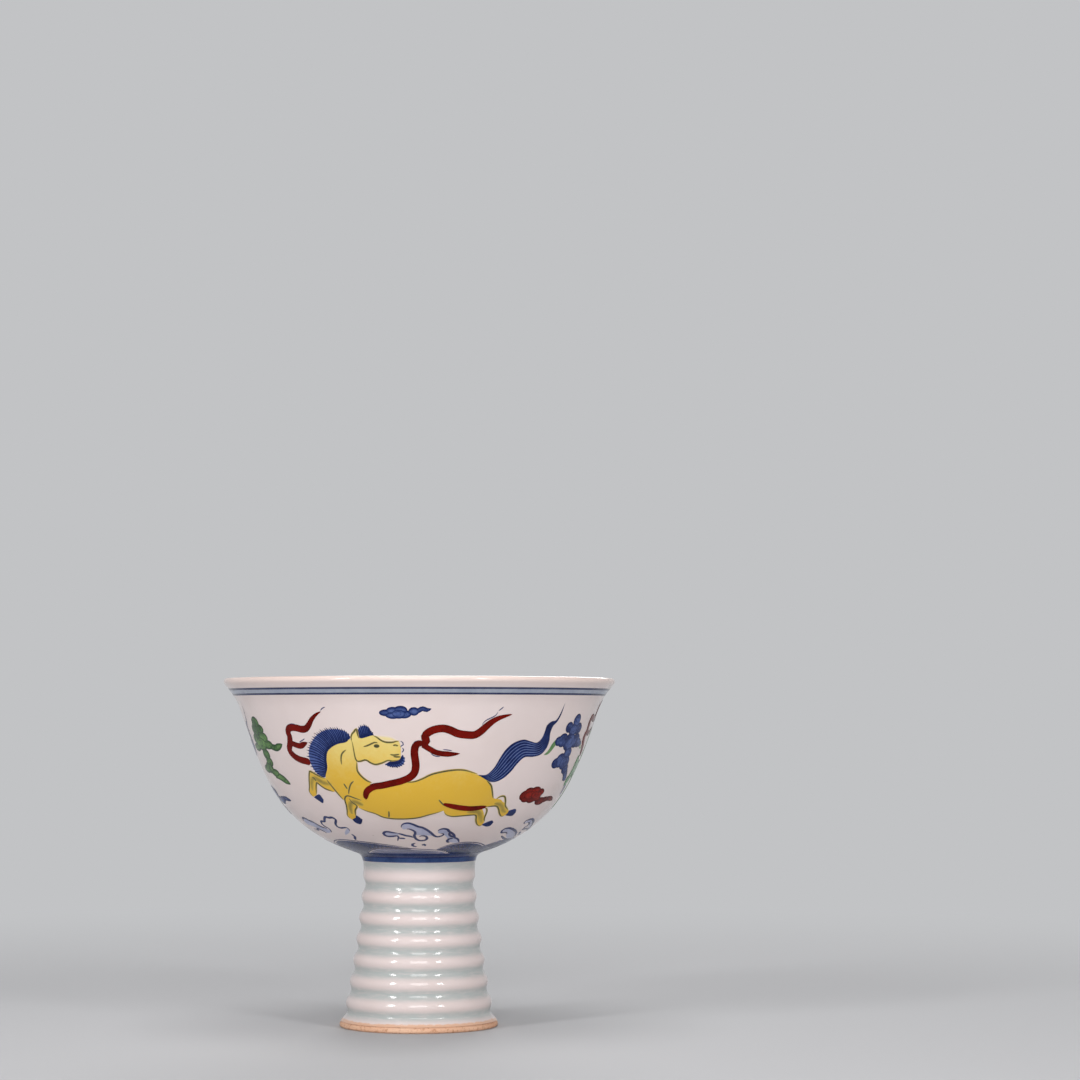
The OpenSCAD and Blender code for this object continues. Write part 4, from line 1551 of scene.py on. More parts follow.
class Tint(Enum):
    """The colours that the clouds and horses come in."""

    BLUE = "blue"
    NAVY = "navy"
    YELLOW = "yellow"
    GREEN = "green"
    RED = "red"

    @property
    def coat(self) -> Pot:
        """The pot for a horse's body."""
        return Pot[self.name]

    @property
    def ink(self) -> Pot:
        """The pot for lines over that body."""
        return Pot[f"INK_{self.name}"]

    @property
    def shade(self) -> Pot:
        """The pot for the shaded parts of that body."""
        return Pot[f"SHADE_{self.name}"]

    @property
    def eye(self) -> Pot:
        """The pot for a horse's eyes."""
        return Pot.INK_YELLOW if self is Tint.YELLOW else Pot.COBALT_HAIR

    @property
    def ribbon(self) -> tuple[Pot, Pot]:
        """The pots for a horse's ribbons and for their edges."""
        return (Pot.GREEN, Pot.INK_GREEN) if self is Tint.RED else (Pot.RED, Pot.INK_RED)

    @property
    def cloud(self) -> Pot:
        """The pot for the middles of a cloud's lobes."""
        return Pot[f"CLOUD_{self.name}"]

    @property
    def rim(self) -> Pot:
        """The pot for a cloud's rim and curls."""
        return Pot.COBALT_HAIR if self in (Tint.BLUE, Tint.NAVY) else Pot[f"RIM_{self.name}"]

    @property
    def leaf(self) -> Pot:
        """The pot for a cloud's thin tips."""
        return Pot.RED if self is Tint.YELLOW else Pot.LEAF_GREEN


@dataclass(frozen=True)
class Cloud:
    """A cloud of round lobes, each over the one before, with tapering tails and thin tips."""

    lobes: tuple[Dab, ...]
    tails: tuple[Stroke, ...]
    tips: tuple[Fill, ...] = ()
    rim: float = 0.3
    step: float = 0.004
    curled: float = 2.9

    def works(self, name: str, tint: Tint, turn: float, skin: Skin) -> list[Brushwork]:
        """The cloud in its colours: a dark rim round soft lighter lobes, and a curl in each large one.

        Args:
            name: what its pieces are called.
            tint: the colour of its lobes.
            turn: where it stands round the bowl, in degrees.
            skin: the bowl's outside.

        Returns:
            The brushwork of the rims, the middles and the tips.
        """
        rims = Brushwork(f"{name}_rims", tint.rim, Layer.LINE)
        middles = Brushwork(f"{name}_middles", tint.cloud, Layer.LINE)
        for number, mark in enumerate(self.tails + self.lobes):
            lift = (number + 1) * self.step
            rims.put(mark, turn=turn)
            middles.put(mark.wider(-self.rim), turn=turn, lift=lift)
            if isinstance(mark, Dab) and mark.wide > self.curled:
                rims.put(mark.curl(skin), turn=turn, lift=lift + self.step / 2)
        works = [rims, middles]
        if self.tips:
            works.append(Brushwork(f"{name}_tips", tint.leaf, Layer.LINE).put(*self.tips, turn=turn))
        return works


# Each cloud is drawn about 0 degrees: the cross-shaped one about 36 millimetres up, the leafy one with a domed
# top and one long arm about 35, the low drifting one about 23.5 and the small one under the rim about 42.6.
CROSS = Cloud(
    lobes=(
        Dab((-0.3, 40.9), 3.0, 3.2), Dab((-4.2, 39.4), 2.8, 2.5), Dab((2.6, 39.1), 3.2, 2.8),
        Dab((-1, 38.8), 3.6, 3.0), Dab((-8.2, 36.3), 2.8, 2.2), Dab((-5.8, 36.5), 3.6, 3.2),
        Dab((6.4, 35.9), 3.2, 2.2), Dab((3.6, 36.4), 4.0, 3.4), Dab((-1, 36.1), 5.0, 4.2),
        Dab((0.6, 33.6), 3.4, 3.0), Dab((-5.4, 31.3), 3.2, 2.5), Dab((-3, 31.9), 3.8, 3.4),
        Dab((0.8, 31.4), 4.4, 3.4), Dab((3.4, 29.9), 3.0, 2.4),
    ),
    tails=(
        Stroke(((2, 30), (5.2, 29.2), (7.4, 27.9), (10, 27.2)), 2.0, Ends.RIBBON),
        Stroke(((5, 36), (8, 35.7), (10.8, 35.6)), 1.5, Ends.RIBBON),
    ),
    tips=Fill.each(
        ((-8.6, 36.9), (-10.2, 36.8), (-11.7, 35.8), (-12.7, 34.4), (-14.4, 33.4)),
        ((-8.7, 35.8), (-9.8, 34.9), (-11, 33.9), (-12.4, 33.2), (-14.2, 33.1)),
        ((8.6, 36.3), (10.2, 36), (11.4, 35.2), (13.4, 34.6)),
        ((8.6, 35.6), (9.8, 34.9), (11, 34.4), (13.4, 34.4)),
    ),
)
LEAF = Cloud(
    lobes=(
        Dab((0.4, 40.3), 4.0, 3.2), Dab((2.7, 39), 3.8, 2.2), Dab((-1.8, 38.8), 4.0, 3.0),
        Dab((3.2, 37.1), 4.6, 2.6), Dab((-2.8, 36.8), 5.4, 2.8), Dab((-6, 34.9), 4.4, 2.0),
        Dab((5.2, 35.5), 4.8, 2.2), Dab((0, 35.7), 5.6, 3.4), Dab((1, 33.3), 3.8, 2.6), Dab((1.4, 31.6), 3.6, 2.4),
        Dab((-4.2, 29.9), 3.8, 2.0), Dab((-0.8, 30.2), 4.2, 2.8), Dab((2.8, 29), 3.8, 2.0),
    ),
    tails=(
        Stroke(((6, 35.4), (10, 34.8), (12.4, 35.1), (15.2, 35.7)), 1.6, Ends.RIBBON),
        Stroke(((1, 28.8), (5, 28.2), (8, 27.4), (11.2, 26.4)), 2.0, Ends.RIBBON),
    ),
)
DRIFT = Cloud(
    lobes=(
        Dab((-11.4, 23.7), 2.8, 2.6), Dab((-9.4, 24.8), 2.8, 1.8), Dab((-5.8, 25), 3.2, 1.8),
        Dab((-2.4, 24.4), 2.8, 2.0), Dab((-9.6, 22.8), 2.8, 1.8), Dab((-6, 22.5), 2.8, 1.7),
        Dab((-2.6, 22.9), 2.6, 1.7), Dab((-8.4, 23.8), 3.6, 2.6), Dab((-4.2, 23.8), 4.0, 2.6),
        Dab((4.2, 22.5), 3.0, 1.6), Dab((1, 22.1), 3.8, 2.1),
    ),
    tails=(
        Stroke(((3, 22.4), (7, 22.7), (10, 22.6), (13.2, 22.2)), 1.3, Ends.RIBBON),
    ),
)
SCRAP = Cloud(
    lobes=(
        Dab((-5.4, 42.6), 2.8, 1.5), Dab((-3.2, 43), 2.8, 1.8), Dab((-0.8, 43.2), 2.8, 1.9),
        Dab((3.2, 42.9), 2.2, 1.9), Dab((-3.2, 42.1), 3.2, 1.7), Dab((0.2, 42.3), 3.0, 1.9),
        Dab((-1.4, 42.4), 3.0, 2.2),
    ),
    tails=(
        Stroke(((2.6, 42.8), (4.4, 43), (5.8, 43.5), (7.2, 43.2), (8.6, 43.5)), 1.1, Ends.RIBBON),
    ),
)


@dataclass(frozen=True)
class Spray:
    """Spray thrown up by the sea: its lines, the pale foam between them, and where it stands round the bowl."""

    lines: tuple[Points, ...]
    foam: tuple[Fill, ...]
    turns: tuple[float, ...]


# The curling crests under each horse, the jagged spray in front of the first one, and the long curl behind the
# first two, with a loose end of foam above it.
CRESTS = Spray(
    lines=(
        ((-8.1, 14.6), (-8, 15.5), (-7, 16.2), (-4.8, 16.5), (-2.6, 16.1), (-0.3, 15.4), (1.9, 15), (4.1, 14.2),
         (6.3, 13.1), (8, 12.1), (9.9, 11.6), (12.2, 12), (12.9, 12.5), (11.9, 13), (10.8, 12.6)),
        ((9.4, 13.4), (9.9, 14.2), (11.9, 14.6), (14.1, 14.3), (15.2, 13.6), (16.9, 13), (18.6, 12.2), (19.7, 11.2),
         (21.9, 10.6), (23.3, 9.8), (24.7, 8.8)),
        ((15.1, 13.4), (16.3, 12.2), (18, 11.6), (19.5, 11.3)),
        ((19.6, 10.9), (17.4, 10.8), (16.3, 10.2), (16.9, 9.3), (18.6, 9)),
        ((-6, 14.4), (-4.8, 14.6), (-3.1, 14.2), (-1.8, 13.6), (-1.7, 12.8), (-2.3, 12.1), (-1.9, 11.3),
         (-1.2, 10.6), (0.8, 10), (3.6, 10.2), (4.6, 11.1), (3.6, 11.9), (1.3, 12), (0, 11.5)),
        ((-10, 13), (-12.6, 13.2), (-14.8, 13.5), (-16.6, 13.5), (-17.9, 13), (-17.9, 12.3), (-16.4, 11.8),
         (-13.7, 11.8), (-11.4, 12), (-10.6, 11.6), (-11.2, 10.8), (-11.8, 10.1), (-12.1, 9.5)),
        ((-11, 13), (-8.6, 12.6), (-6.7, 12.1), (-4.2, 11.8), (-2, 11.1)),
        ((-10.9, 10.9), (-9, 11), (-7, 10.8)),
        ((-1.6, 8.9), (-3.7, 8.4), (-3.9, 7.6), (-2.6, 7.1), (-0.8, 7)),
        ((2, 7.6), (3.4, 8.2), (4.2, 7.2)),
    ),
    foam=Fill.each(
        ((-8.1, 14.6), (-8, 15.5), (-7, 16.2), (-4.8, 16.5), (-2.6, 16.1), (-0.3, 15.3), (1.9, 15), (4.1, 14.2),
         (6.3, 13.1), (8, 12.1)),
        ((-6.5, 14.3), (-4.8, 14.4), (-3.1, 14.1), (-1.7, 13.4), (-1.6, 12.6), (-1, 12.1), (1, 12.1), (3.6, 12),
         (6, 11.9), (8, 11.8)),
        ((9.4, 13.4), (9.9, 14.2), (11.9, 14.6), (14.1, 14.3), (16.9, 13), (18.6, 12.2), (19.7, 11.2), (21.9, 10.6),
         (23.3, 9.8), (24.7, 8.8)),
        ((10.5, 12.8), (12.4, 12.6), (13.6, 12), (15.8, 10.8), (16.2, 9.6), (18.6, 9), (21, 8.7), (24, 8.4)),
        ((-10.3, 13), (-12.6, 13.2), (-14.8, 13.5), (-16.6, 13.5), (-17.9, 13), (-18, 12.6)),
        ((-10.6, 11.8), (-12, 11.9), (-13.7, 11.8), (-16.4, 11.8), (-17.8, 12.3)),
    ),
    turns=(0.0, 120.0, 240.0),
)
JAGGED = Spray(
    lines=(
        ((-68.7, 16.2), (-67.2, 16.8), (-65.1, 17.4), (-62.8, 17.2), (-60.8, 16.6), (-58.7, 16.3), (-56.8, 15.5),
         (-54.7, 14.7), (-52.6, 14.4), (-51.4, 13.8)),
        ((-52, 12.6), (-50.1, 13.4), (-49.9, 14.2), (-51.2, 14.8), (-52, 15.7), (-50.5, 16.6), (-48.3, 16.6),
         (-47, 17.3), (-45.3, 18), (-43.3, 17.8), (-41.2, 17.9), (-39.9, 17.3), (-40.8, 16.6), (-42, 15.9),
         (-42.4, 15.1), (-40.8, 14.6), (-38.7, 14.7), (-36.6, 14.7), (-36.1, 14), (-37, 13.3)),
        ((-37.4, 12.6), (-36.6, 11.5), (-37.8, 10.7), (-39.1, 9.8)),
        ((-66, 14), (-63, 13.4), (-60.5, 14), (-58, 13.2), (-56, 12.2)),
    ),
    foam=Fill.each(
        ((-68.7, 16.2), (-65.1, 17.4), (-60.8, 16.6), (-56.8, 15.5), (-52.6, 14.4), (-50.4, 13.8)),
        ((-67.6, 15), (-63, 14.4), (-59.4, 13.2), (-56.5, 12.4), (-53.4, 12.4), (-51, 12.9)),
        ((-42.4, 12), (-41, 13), (-39, 13.9), (-36.6, 14.6), (-36.1, 14)),
        ((-42.4, 11.7), (-40, 12.2), (-38.4, 12.6), (-37.2, 13), (-36.3, 13.6)),
    ),
    turns=(0.0,),
)
LONG_CURL = Spray(
    lines=(
        ((54.6, 11.4), (53.6, 12.2), (51, 12.7), (48.4, 12.6), (46.6, 13.2), (47, 14), (49.4, 14.3), (53, 14),
         (57, 13.4), (61, 12.7), (65, 11.8), (69, 10.6), (73, 9.4)),
        ((50.6, 11.4), (53.6, 10.8), (57, 10.2), (61.4, 9.7), (66, 9.5), (71, 9.5)),
        ((55.4, 9.2), (59, 8.8), (62, 9.4), (64.4, 9)),
        ((61, 15.5), (59, 15.8), (58.8, 16.5), (62.6, 17), (66, 16.6), (70, 15.7), (74, 14.4), (77.2, 13.1),
         (79.8, 12.7), (80.6, 13.5), (79.2, 13.9)),
        ((62.4, 15.9), (65, 15.7), (66.8, 15.1), (65.4, 14.3), (66.2, 13.5), (69, 13.6), (72.6, 13.6), (75.6, 13)),
        ((66, 12.4), (68.8, 12.2), (71, 11.4), (74, 11.6)),
    ),
    foam=Fill.each(
        ((46.8, 13.4), (49.4, 14.2), (53, 13.9), (57, 13.3), (61, 12.6), (65, 11.7), (69, 10.5), (72.4, 9.5)),
        ((48.4, 12.8), (51, 12.7), (54, 12.1), (56, 11), (61.4, 9.9), (66, 9.6), (72, 9.4)),
        ((58.9, 16.2), (62.6, 16.9), (66, 16.5), (70, 15.6), (74, 14.3), (77, 13.2)),
        ((60.4, 15.7), (64, 15.7), (67, 15.1), (69.4, 14.2), (73, 13.6), (77, 13)),
    ),
    turns=(0.0, 120.0),
)


@dataclass(frozen=True)
class Sea:
    """The waves round the foot of the bowl, three times round: two swells, a low hump between them, and spray."""

    swell: Points = (
        (-76, 4.4), (-72, 6.6), (-66, 8.3), (-58, 9.4), (-49, 9.8), (-40, 9.5), (-31, 8.9), (-22, 8.1), (-13, 7.1),
        (-5, 6.1),
    )
    swell_foot: Points = (
        (-75, 1.8), (-62, 1.6), (-50, 2.2), (-40, 4.0), (-32, 5.4), (-24, 6.2), (-14, 6.3), (-6, 5.6),
    )
    swell_far: Points = (
        (12, 5.4), (16, 6.8), (21, 8.2), (27, 8.9), (33, 8.9), (40, 8.3), (47, 7.2), (54, 6), (61, 5.2),
    )
    far_foot: Points = ((13, 4.8), (20, 4.2), (26, 2.6), (34, 1.6), (44, 1.6), (52, 2), (60, 4.4))
    hump: Points = (
        (-47, 2.8), (-40, 4.3), (-33, 5.6), (-26, 6.2), (-18, 6.4), (-9, 6.1), (0, 5.6), (9, 5.2), (17, 4.4),
        (24, 2.9),
    )
    hump_foot: Points = ((-46, 2.2), (-30, 2.0), (-10, 1.9), (10, 1.9), (23, 2.2))
    sprays: tuple[Spray, ...] = (CRESTS, JAGGED, LONG_CURL)
    turns: tuple[float, ...] = (0.0, 120.0, 240.0)
    depth: Ring = Ring(0.02, 0.7)
    # a cobalt wash right round the foot of the bowl, dark in part as painted shade under the bowl
    shore_and_shade: Ring = Ring(0.5, 2.4)
    gap: float = 0.45
    under: float = -0.008
    over: float = 0.005
    near_hatch: int = 24
    far_hatch: int = 20
    hatch_over: float = -0.06
    hatch_lean: float = 0.16
    hatch_w: float = 0.4
    ripples: tuple[float, ...] = (0.22, 0.46, 0.72)
    ripple_w: float = 0.46
    ripple_run: tuple[float, float] = (0.06, 0.94)
    crest_w: float = 0.5
    spray_w: float = 0.74

    def below(self, crest: Points, foot: Points) -> Fill:
        """The water under a crest line, a gap below it."""
        return Fill(tuple((turn, up - self.gap) for turn, up in crest), foot)

    def works(self) -> list[Brushwork]:
        """Paints the waves and the spray.

        Returns:
            The brushwork, from the lowest layer up.
        """
        tint = Brushwork("spray_tint", Pot.COBALT_PALE, Layer.WASH)
        shoal = Brushwork("wave_shoal", Pot.COBALT_SLATE, Layer.WASH)
        wash = Brushwork("wave_wash_in_shade", Pot.COBALT_SEA, Layer.WASH).put(self.shore_and_shade)
        dark = Brushwork("wave_depth", Pot.COBALT_DARK, Layer.LINE).put(self.depth)
        hatch = Brushwork("wave_hatch", Pot.COBALT_RIPPLE, Layer.LINE)
        lines = Brushwork("wave_lines", Pot.COBALT_LINE, Layer.DETAIL)
        near, far = self.below(self.swell, self.swell_foot), self.below(self.swell_far, self.far_foot)
        low = self.below(self.hump, self.hump_foot)
        for turn in self.turns:
            wash.put(near, turn=turn).put(far, turn=turn, lift=self.over)
            shoal.put(low, turn=turn, lift=self.under)
            hatch.put(*near.hatch(self.near_hatch, self.hatch_over, self.hatch_lean, self.hatch_w), turn=turn)
            hatch.put(*far.hatch(self.far_hatch, self.hatch_over, -self.hatch_lean, self.hatch_w), turn=turn)
            lines.put(*low.between(self.ripples, self.ripple_w, *self.ripple_run), turn=turn)
            lines.put(*Stroke.each(self.swell, self.swell_far, self.hump, width=self.crest_w), turn=turn)
        for spray in self.sprays:
            for turn in spray.turns:
                tint.put(*spray.foam, turn=turn, lift=self.under)
                lines.put(*Stroke.each(*spray.lines, width=self.spray_w), turn=turn)
        return [tint, shoal, wash, dark, hatch, lines]


Places = tuple[tuple[Tint, float], ...]


@dataclass(frozen=True)
class Painting:
    """All that is painted on the outside of the bowl, with the places of horses and clouds in degrees."""

    skin: Skin
    rim_lines: tuple[Ring, ...] = (Ring(46.7, 47.3), Ring(48.1, 48.7))
    rim_wash: Ring = Ring(47.0, 48.4)
    horses: tuple[tuple[Horse, Tint, float], ...] = (
        (LOOKING_BACK, Tint.YELLOW, 0.0),
        (FACING_OUT, Tint.GREEN, 0.0),
        (LOOKING_BACK, Tint.RED, -126.0),
    )
    crosses: Places = ((Tint.NAVY, 62.0), (Tint.YELLOW, 172.0))
    leaves: Places = ((Tint.GREEN, -67.2),)
    drifts: Places = ((Tint.RED, 56.8), (Tint.BLUE, 164.0), (Tint.NAVY, -76.6))
    scraps: Places = ((Tint.BLUE, -4.6), (Tint.RED, 109.6), (Tint.GREEN, -130.6))
    hairs: tuple[tuple[int, float], ...] = ((36, 0.86), (12, 0.7), (12, 0.4))
    hair_over: float = 0.09
    hair_lean: float = 0.02
    hair_w: float = 0.36
    hair_inset: float = 0.06
    comb: tuple[float, float, int] = (0.14, 0.86, 6)
    comb_w: float = 0.3
    comb_run: tuple[float, float] = (0.05, 0.74)
    edging_w: float = 0.14

    def rim(self) -> list[Brushwork]:
        """The two lines under the lip and the wash between them."""
        wash = Brushwork("rim_wash", Pot.LIP_WASH, Layer.WASH).put(self.rim_wash)
        return [wash, Brushwork("rim_lines", Pot.COBALT_RIM, Layer.LINE).put(*self.rim_lines)]

    def hair(self, tufts: tuple[Fill, ...]) -> list[Mark]:
        """The mane and tufts: for each, a solid root and hairs across it.

        Args:
            tufts: the mane and the tufts, in the order of hairs.

        Returns:
            The marks.
        """
        marks = []
        for tuft, (count, solid) in zip(tufts, self.hairs):
            marks += [tuft.inset(solid), *tuft.hatch(count, self.hair_over, self.hair_lean, self.hair_w)]
        return marks

    def horse(self, beast: Horse, tint: Tint, turn: float) -> list[Brushwork]:
        """One horse in its colour, in layers.

        Args:
            beast: the horse.
            tint: the colour of its coat.
            turn: how far it is turned round the bowl, in degrees.

        Returns:
            Its brushwork.
        """
        tufts = (beast.mane, *beast.tufts)
        combed = beast.tail.between(np.linspace(*self.comb), self.comb_w, *self.comb_run)
        ribbon, ribbon_edge = tint.ribbon
        layers = [
            ("hair_wash", Pot.COBALT_MANE, Layer.WASH, [tuft.inset(self.hair_inset) for tuft in tufts]),
            ("hair", Pot.COBALT_HAIR, Layer.LINE, self.hair(tufts)),
            ("tail", Pot.COBALT_TAIL, Layer.LINE, [beast.tail]),
            ("hooves", Pot.COBALT_DARK, Layer.LINE, beast.hooves),
            ("comb", Pot.COBALT_STREAK, Layer.DETAIL, combed),
            ("coat", tint.coat, Layer.ENAMEL, beast.coat),
            ("shades", tint.shade, Layer.SHADE, beast.shades),
            ("lines", tint.ink, Layer.OVER, beast.lines),
            ("eyes", tint.eye, Layer.TOP, beast.eyes),
            ("ribbon_edges", ribbon_edge, Layer.OVER, [band.wider(self.edging_w) for band in beast.ribbons]),
            ("ribbons", ribbon, Layer.TOP, beast.ribbons),
            ("sketch", Pot.COBALT_LINE, Layer.LINE, beast.loose),
        ]
        if beast.spill and tint is Tint.YELLOW:
            layers.append(("spill", Pot.SPILL_YELLOW, Layer.LINE, [beast.spill]))
        name = f"{tint.value}_horse"
        return [Brushwork(f"{name}_{part}", pot, layer).put(*marks, turn=turn) for part, pot, layer, marks in layers]

    def clouds(self) -> list[Brushwork]:
        """The clouds of every kind, each kind numbered from 1.

        Returns:
            Their brushwork.
        """
        works = []
        kinds = {"cross": CROSS, "leaf": LEAF, "drift": DRIFT, "scrap": SCRAP}
        spots = (self.crosses, self.leaves, self.drifts, self.scraps)
        for (kind, cloud), places in zip(kinds.items(), spots):
            for number, (tint, turn) in enumerate(places, 1):
                works += cloud.works(f"{kind}_cloud_{number}", tint, turn, self.skin)
        return works

    def build(self) -> list[Thing]:
        """Paints the rim, the sea, the clouds and the horses.

        Returns:
            Each layer of paint as a piece.
        """
        works = self.rim() + Sea().works() + self.clouds()
        for placed in self.horses:
            works += self.horse(*placed)
        return [work.build(self.skin) for work in works]


@dataclass(frozen=True)
class Bowl:
    """The bowl's glaze, over the clay of the CAD model."""

    form: CupForm
    glaze: Glaze = Glaze("bowl_porcelain")
    clay: BareClay = BareClay("foot_biscuit")
    slip: BareClay = BareClay("dried_slip", body=shade(226, 200, 178), flush=shade(214, 184, 160))
    lip_worn: float = 2.2
    lip_warmth: float = 0.7
    segments: int = 204

    def build(self) -> list[Thing]:
        """Builds the coat as one shell, and dresses the CAD model's clay and slip inside it.

        Returns:
            The coat.
        """
        section = self.form.bowl_coat()
        lip = self.lip_warmth * eased(np.clip((section[:, 1] - self.form.cup_h) / self.lip_worn + 1, 0, 1))
        coat = revolve(section, self.segments, lip=lip).piece("bowl_coat", self.glaze)
        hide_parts("bowl_outer_glaze", "bowl_inner_glaze")
        for node, finish in (("bowl_body", self.clay), ("luting_slip", self.slip)):
            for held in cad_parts[node].material_slots:
                held.material = finish.material()
        return [coat]


@dataclass(frozen=True)
class Stem:
    """The stem's bare foot and clay, its ribbed glaze, the lining of its hollow and the band at its top."""

    form: CupForm
    glaze: Glaze = Glaze("stem_porcelain")
    clay: BareClay = BareClay("foot_biscuit")
    band_low: float = 35.55
    band_steps: int = 12
    band_edge: float = 0.1
    band_sink: float = 0.03
    joint_steps: int = 40
    band_over: int = 8
    pool_power: float = 1.15
    neck_pool_low: float = 32.9
    neck_pool_high: float = 34.9
    neck_pool: float = 0.9
    foot_pool_low: float = 1.7
    blush_h: float = 1.1
    segments: int = 228

    def build(self) -> list[Thing]:
        """Builds the stem's pieces, each in place of its node of the CAD model, and the band over them.

        Returns:
            The pieces.
        """
        section = self.form.stem_coat()
        z = section[:, 1]
        blush = np.clip(1 - (z - z.min()) / self.blush_h, 0, 1)
        coat = revolve(section, self.segments, pool=self.pool(z), blush=blush).piece("stem_coat", self.glaze)
        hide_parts("stem_outer_glaze")
        lining = revolve(self.form.hollow_coat(), self.segments).piece("hollow_lining", self.glaze)
        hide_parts("stem_inner_glaze")
        body = revolve(self.form.stem_clay(), self.segments).piece("stem_clay", self.clay)
        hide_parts("stem_body")
        return [coat, lining, body, self.band()]

    def pool(self, z: Array) -> Array:
        """How thick the glaze has run, which also sets the painted shade in the grooves: full in the grooves, nearly
        so on the neck, thin down the foot.

        Args:
            z: the heights.

        Returns:
            A share from 0 to 1 at each height.
        """
        neck = eased(np.clip((z - self.neck_pool_low) / (self.neck_pool_high - self.neck_pool_low), 0, 1))
        foot = eased(np.clip((z - self.foot_pool_low) / (self.form.foot_h - self.foot_pool_low), 0, 1))
        ribs = eased(self.form.groove(z) ** self.pool_power)
        return np.where(z < self.form.foot_h, foot, np.maximum(ribs, self.neck_pool * neck))

    def band(self) -> Thing:
        """The blue band round the top of the neck and over the joint: a thin ring that thins to its edges.

        Returns:
            The band.
        """
        z = np.linspace(self.band_low, self.form.seat_z, self.band_steps)
        neck = np.stack([self.form.crest_r(z), z], 1)
        path = np.vstack([neck, self.form.neck_curve(self.joint_steps)[1 : self.band_over]])
        along = run(path)
        rise = np.minimum(1, np.minimum(along, along[-1] - along) / self.band_edge)
        skin, back = beside(path, -Layer.DETAIL.value * rise), beside(path, self.band_sink)
        ring = revolve(np.vstack([skin, back[::-1]]), self.segments, edge=np.r_[along, 0 * along])
        return ring.piece("neck_band", Pot.COBALT_BAND.value)


@dataclass(frozen=True)
class Paper(Finish):
    """Plain pale studio paper, evenly pale away from the cup and its shadow."""

    roughness: float = 0.9
    pale: Colour = shade(190, 190, 192)
    cloud: Colour = shade(188, 188, 190)
    cloud_scale: float = 6.0
    far_off: Colour = shade(194, 195, 197)
    near: float = 0.1
    far: float = 0.4

    def dress(self, wire: Wiring, shader: Node, place: Socket) -> None:
        """Clouds the paper faintly, and lets the eye see one even colour further out.

        Args:
            wire: the wiring of the material.
            shader: the shader to feed.
            place: the object's coordinates.
        """
        seen = wire.add("ShaderNodeLightPath").outputs
        colour = wire.blend(wire.noise(place, self.cloud_scale), self.pale, self.cloud)
        wire.join(colour, shader.inputs["Base Color"])
        reach = wire.add("ShaderNodeVectorMath", {0: place}, operation="LENGTH").outputs["Value"]
        eye = wire.maths("MAXIMUM", seen["Is Camera Ray"], seen["Is Glossy Ray"])
        share = wire.maths("MULTIPLY", wire.ramp(reach, self.near, self.far), eye)
        glow = wire.add("ShaderNodeEmission", {"Color": self.far_off})
        both = wire.add("ShaderNodeMixShader", {0: share, 1: shader.outputs[0], 2: glow.outputs[0]})
        wire.join(both.outputs[0], wire.tree.nodes["Material Output"].inputs["Surface"])


@dataclass(frozen=True)
class Lamp:
    """A soft oblong light: where it stands, its width and height in metres and its power."""

    name: str
    at: tuple[float, float, float]
    wide: float
    tall: float
    power: float
    sparkle: float = 1.0
    towards: tuple[float, float, float] = (0.0, 0.0, 0.05)

    def build(self) -> None:
        """Puts the light up, turned to the cup."""
        data = bpy.data.lights.new(self.name, "AREA")
        data.shape, data.size, data.size_y = "RECTANGLE", self.wide, self.tall
        data.energy, data.specular_factor = self.power, self.sparkle
        lamp = bpy.data.objects.new(self.name, data)
        lamp.location = self.at
        lamp.rotation_euler = (Vector(self.towards) - Vector(self.at)).to_track_quat("-Z", "Y").to_euler()
        bpy.context.scene.collection.objects.link(lamp)


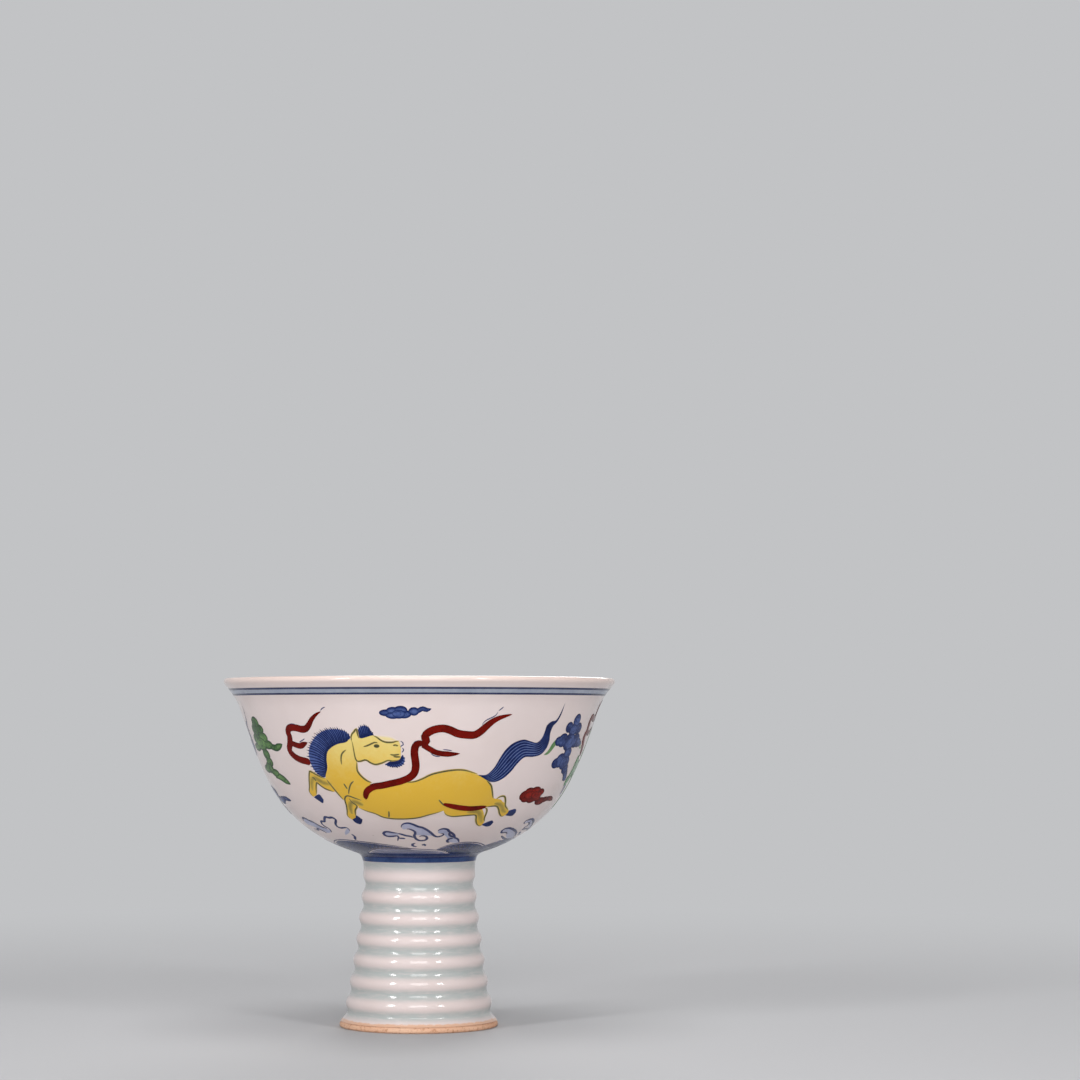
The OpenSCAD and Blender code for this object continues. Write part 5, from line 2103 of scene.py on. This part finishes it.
@dataclass(frozen=True)
class Studio:
    """A pale paper sweep, soft lamps and the camera, at the photograph's viewing angle."""

    floor_r: float = 1.1
    sweep_r: float = 0.5
    sweep_steps: int = 24
    wall_h: float = 0.9
    paper_t: float = 20.0
    paper_segments: int = 96
    camera_far: float = 0.631
    camera_aside: float = 0.0044
    camera_up: float = 0.066
    camera_yaw: float = 1.98
    camera_pitch: float = 3.562
    focal_px: float = 2890.0
    frame_px: float = 1080.0
    sensor_w: float = 36.0
    clip: tuple[float, float] = (0.01, 20.0)
    ambient: float = 0.28
    paper_finish: Paper = Paper("paper")
    lamps: tuple[Lamp, ...] = (
        Lamp("left", (-0.56, -0.52, 0.4), 0.11, 0.34, 2.35),
        Lamp("right", (0.46, -0.6, 0.4), 0.11, 0.34, 1.95),
        Lamp("front", (0.0, -0.95, 0.5), 0.5, 0.5, 3.85, 0.0),
        Lamp("top", (0.0, -0.05, 0.9), 0.5, 0.5, 2.6),
        Lamp("back", (0.1, 0.85, 0.5), 0.4, 0.4, 2.4, 0.4),
    )

    def paper(self) -> Thing:
        """The sweep: a disc that curves up into a round wall, turned about the Z axis.

        Returns:
            The paper.
        """
        turn = np.radians(np.linspace(-90, 0, self.sweep_steps))
        bend = np.stack([self.floor_r + self.sweep_r * np.cos(turn), self.sweep_r * (1 + np.sin(turn))], 1)
        wall = [[self.floor_r + self.sweep_r, self.wall_h]]
        path = np.vstack([[[0.0, 0.0]], bend, wall]) / MM
        back = beside(path, -self.paper_t)
        back[0] = [0.0, -self.paper_t]
        return revolve(np.vstack([path, back[::-1]]), self.paper_segments).thing("paper", self.paper_finish)

    def camera(self) -> Thing:
        """The camera: its distance, height and turn are those of the photograph's view.

        Returns:
            The camera, linked into the scene.
        """
        data = bpy.data.cameras.new("camera")
        data.sensor_width = self.sensor_w
        data.lens = self.focal_px / self.frame_px * self.sensor_w
        data.clip_start, data.clip_end = self.clip
        eye = bpy.data.objects.new("camera", data)
        yaw, pitch = math.radians(self.camera_yaw), math.radians(self.camera_pitch)
        look = Vector((math.sin(yaw) * math.cos(pitch), math.cos(yaw) * math.cos(pitch), math.sin(pitch)))
        right = Vector((math.cos(yaw), -math.sin(yaw), 0))
        turn = Matrix((right, right.cross(look), -look)).transposed().to_4x4()
        eye.matrix_world = Matrix.Translation((self.camera_aside, -self.camera_far, self.camera_up)) @ turn
        bpy.context.scene.collection.objects.link(eye)
        return eye

    def world(self) -> bpy.types.World:
        """Weak even light from all round, seen by the eye as the paper's own colour.

        Returns:
            The world.
        """
        pale = self.paper_finish.far_off
        world = bpy.data.worlds.new("studio")
        world.use_nodes = True
        wire = Wiring(world.node_tree)
        light = world.node_tree.nodes["Background"]
        light.inputs["Color"].default_value, light.inputs["Strength"].default_value = pale, self.ambient
        seen = wire.add("ShaderNodeLightPath").outputs["Is Camera Ray"]
        plain_sky = wire.add("ShaderNodeBackground", {"Color": pale})
        both = wire.add("ShaderNodeMixShader", {0: seen, 1: light.outputs[0], 2: plain_sky.outputs[0]})
        wire.join(both.outputs[0], world.node_tree.nodes["World Output"].inputs["Surface"])
        return world

    def build(self) -> None:
        """Lays the paper, lights it and sets the camera."""
        self.paper()
        for lamp in self.lamps:
            lamp.build()
        scene = bpy.context.scene
        scene.camera = self.camera()
        scene.view_settings.view_transform = "Standard"
        scene.world = self.world()


def main() -> None:
    """Builds the cup and its studio."""
    logging.basicConfig(level=logging.INFO, format="%(message)s")
    form = CupForm()
    for part in (Bowl(form), Stem(form), Painting(Skin(form))):
        for piece in part.build():
            LOG.info("%s: %d faces", piece.name, len(piece.data.polygons))
    Studio().build()


if __name__ == "__main__":
    main()
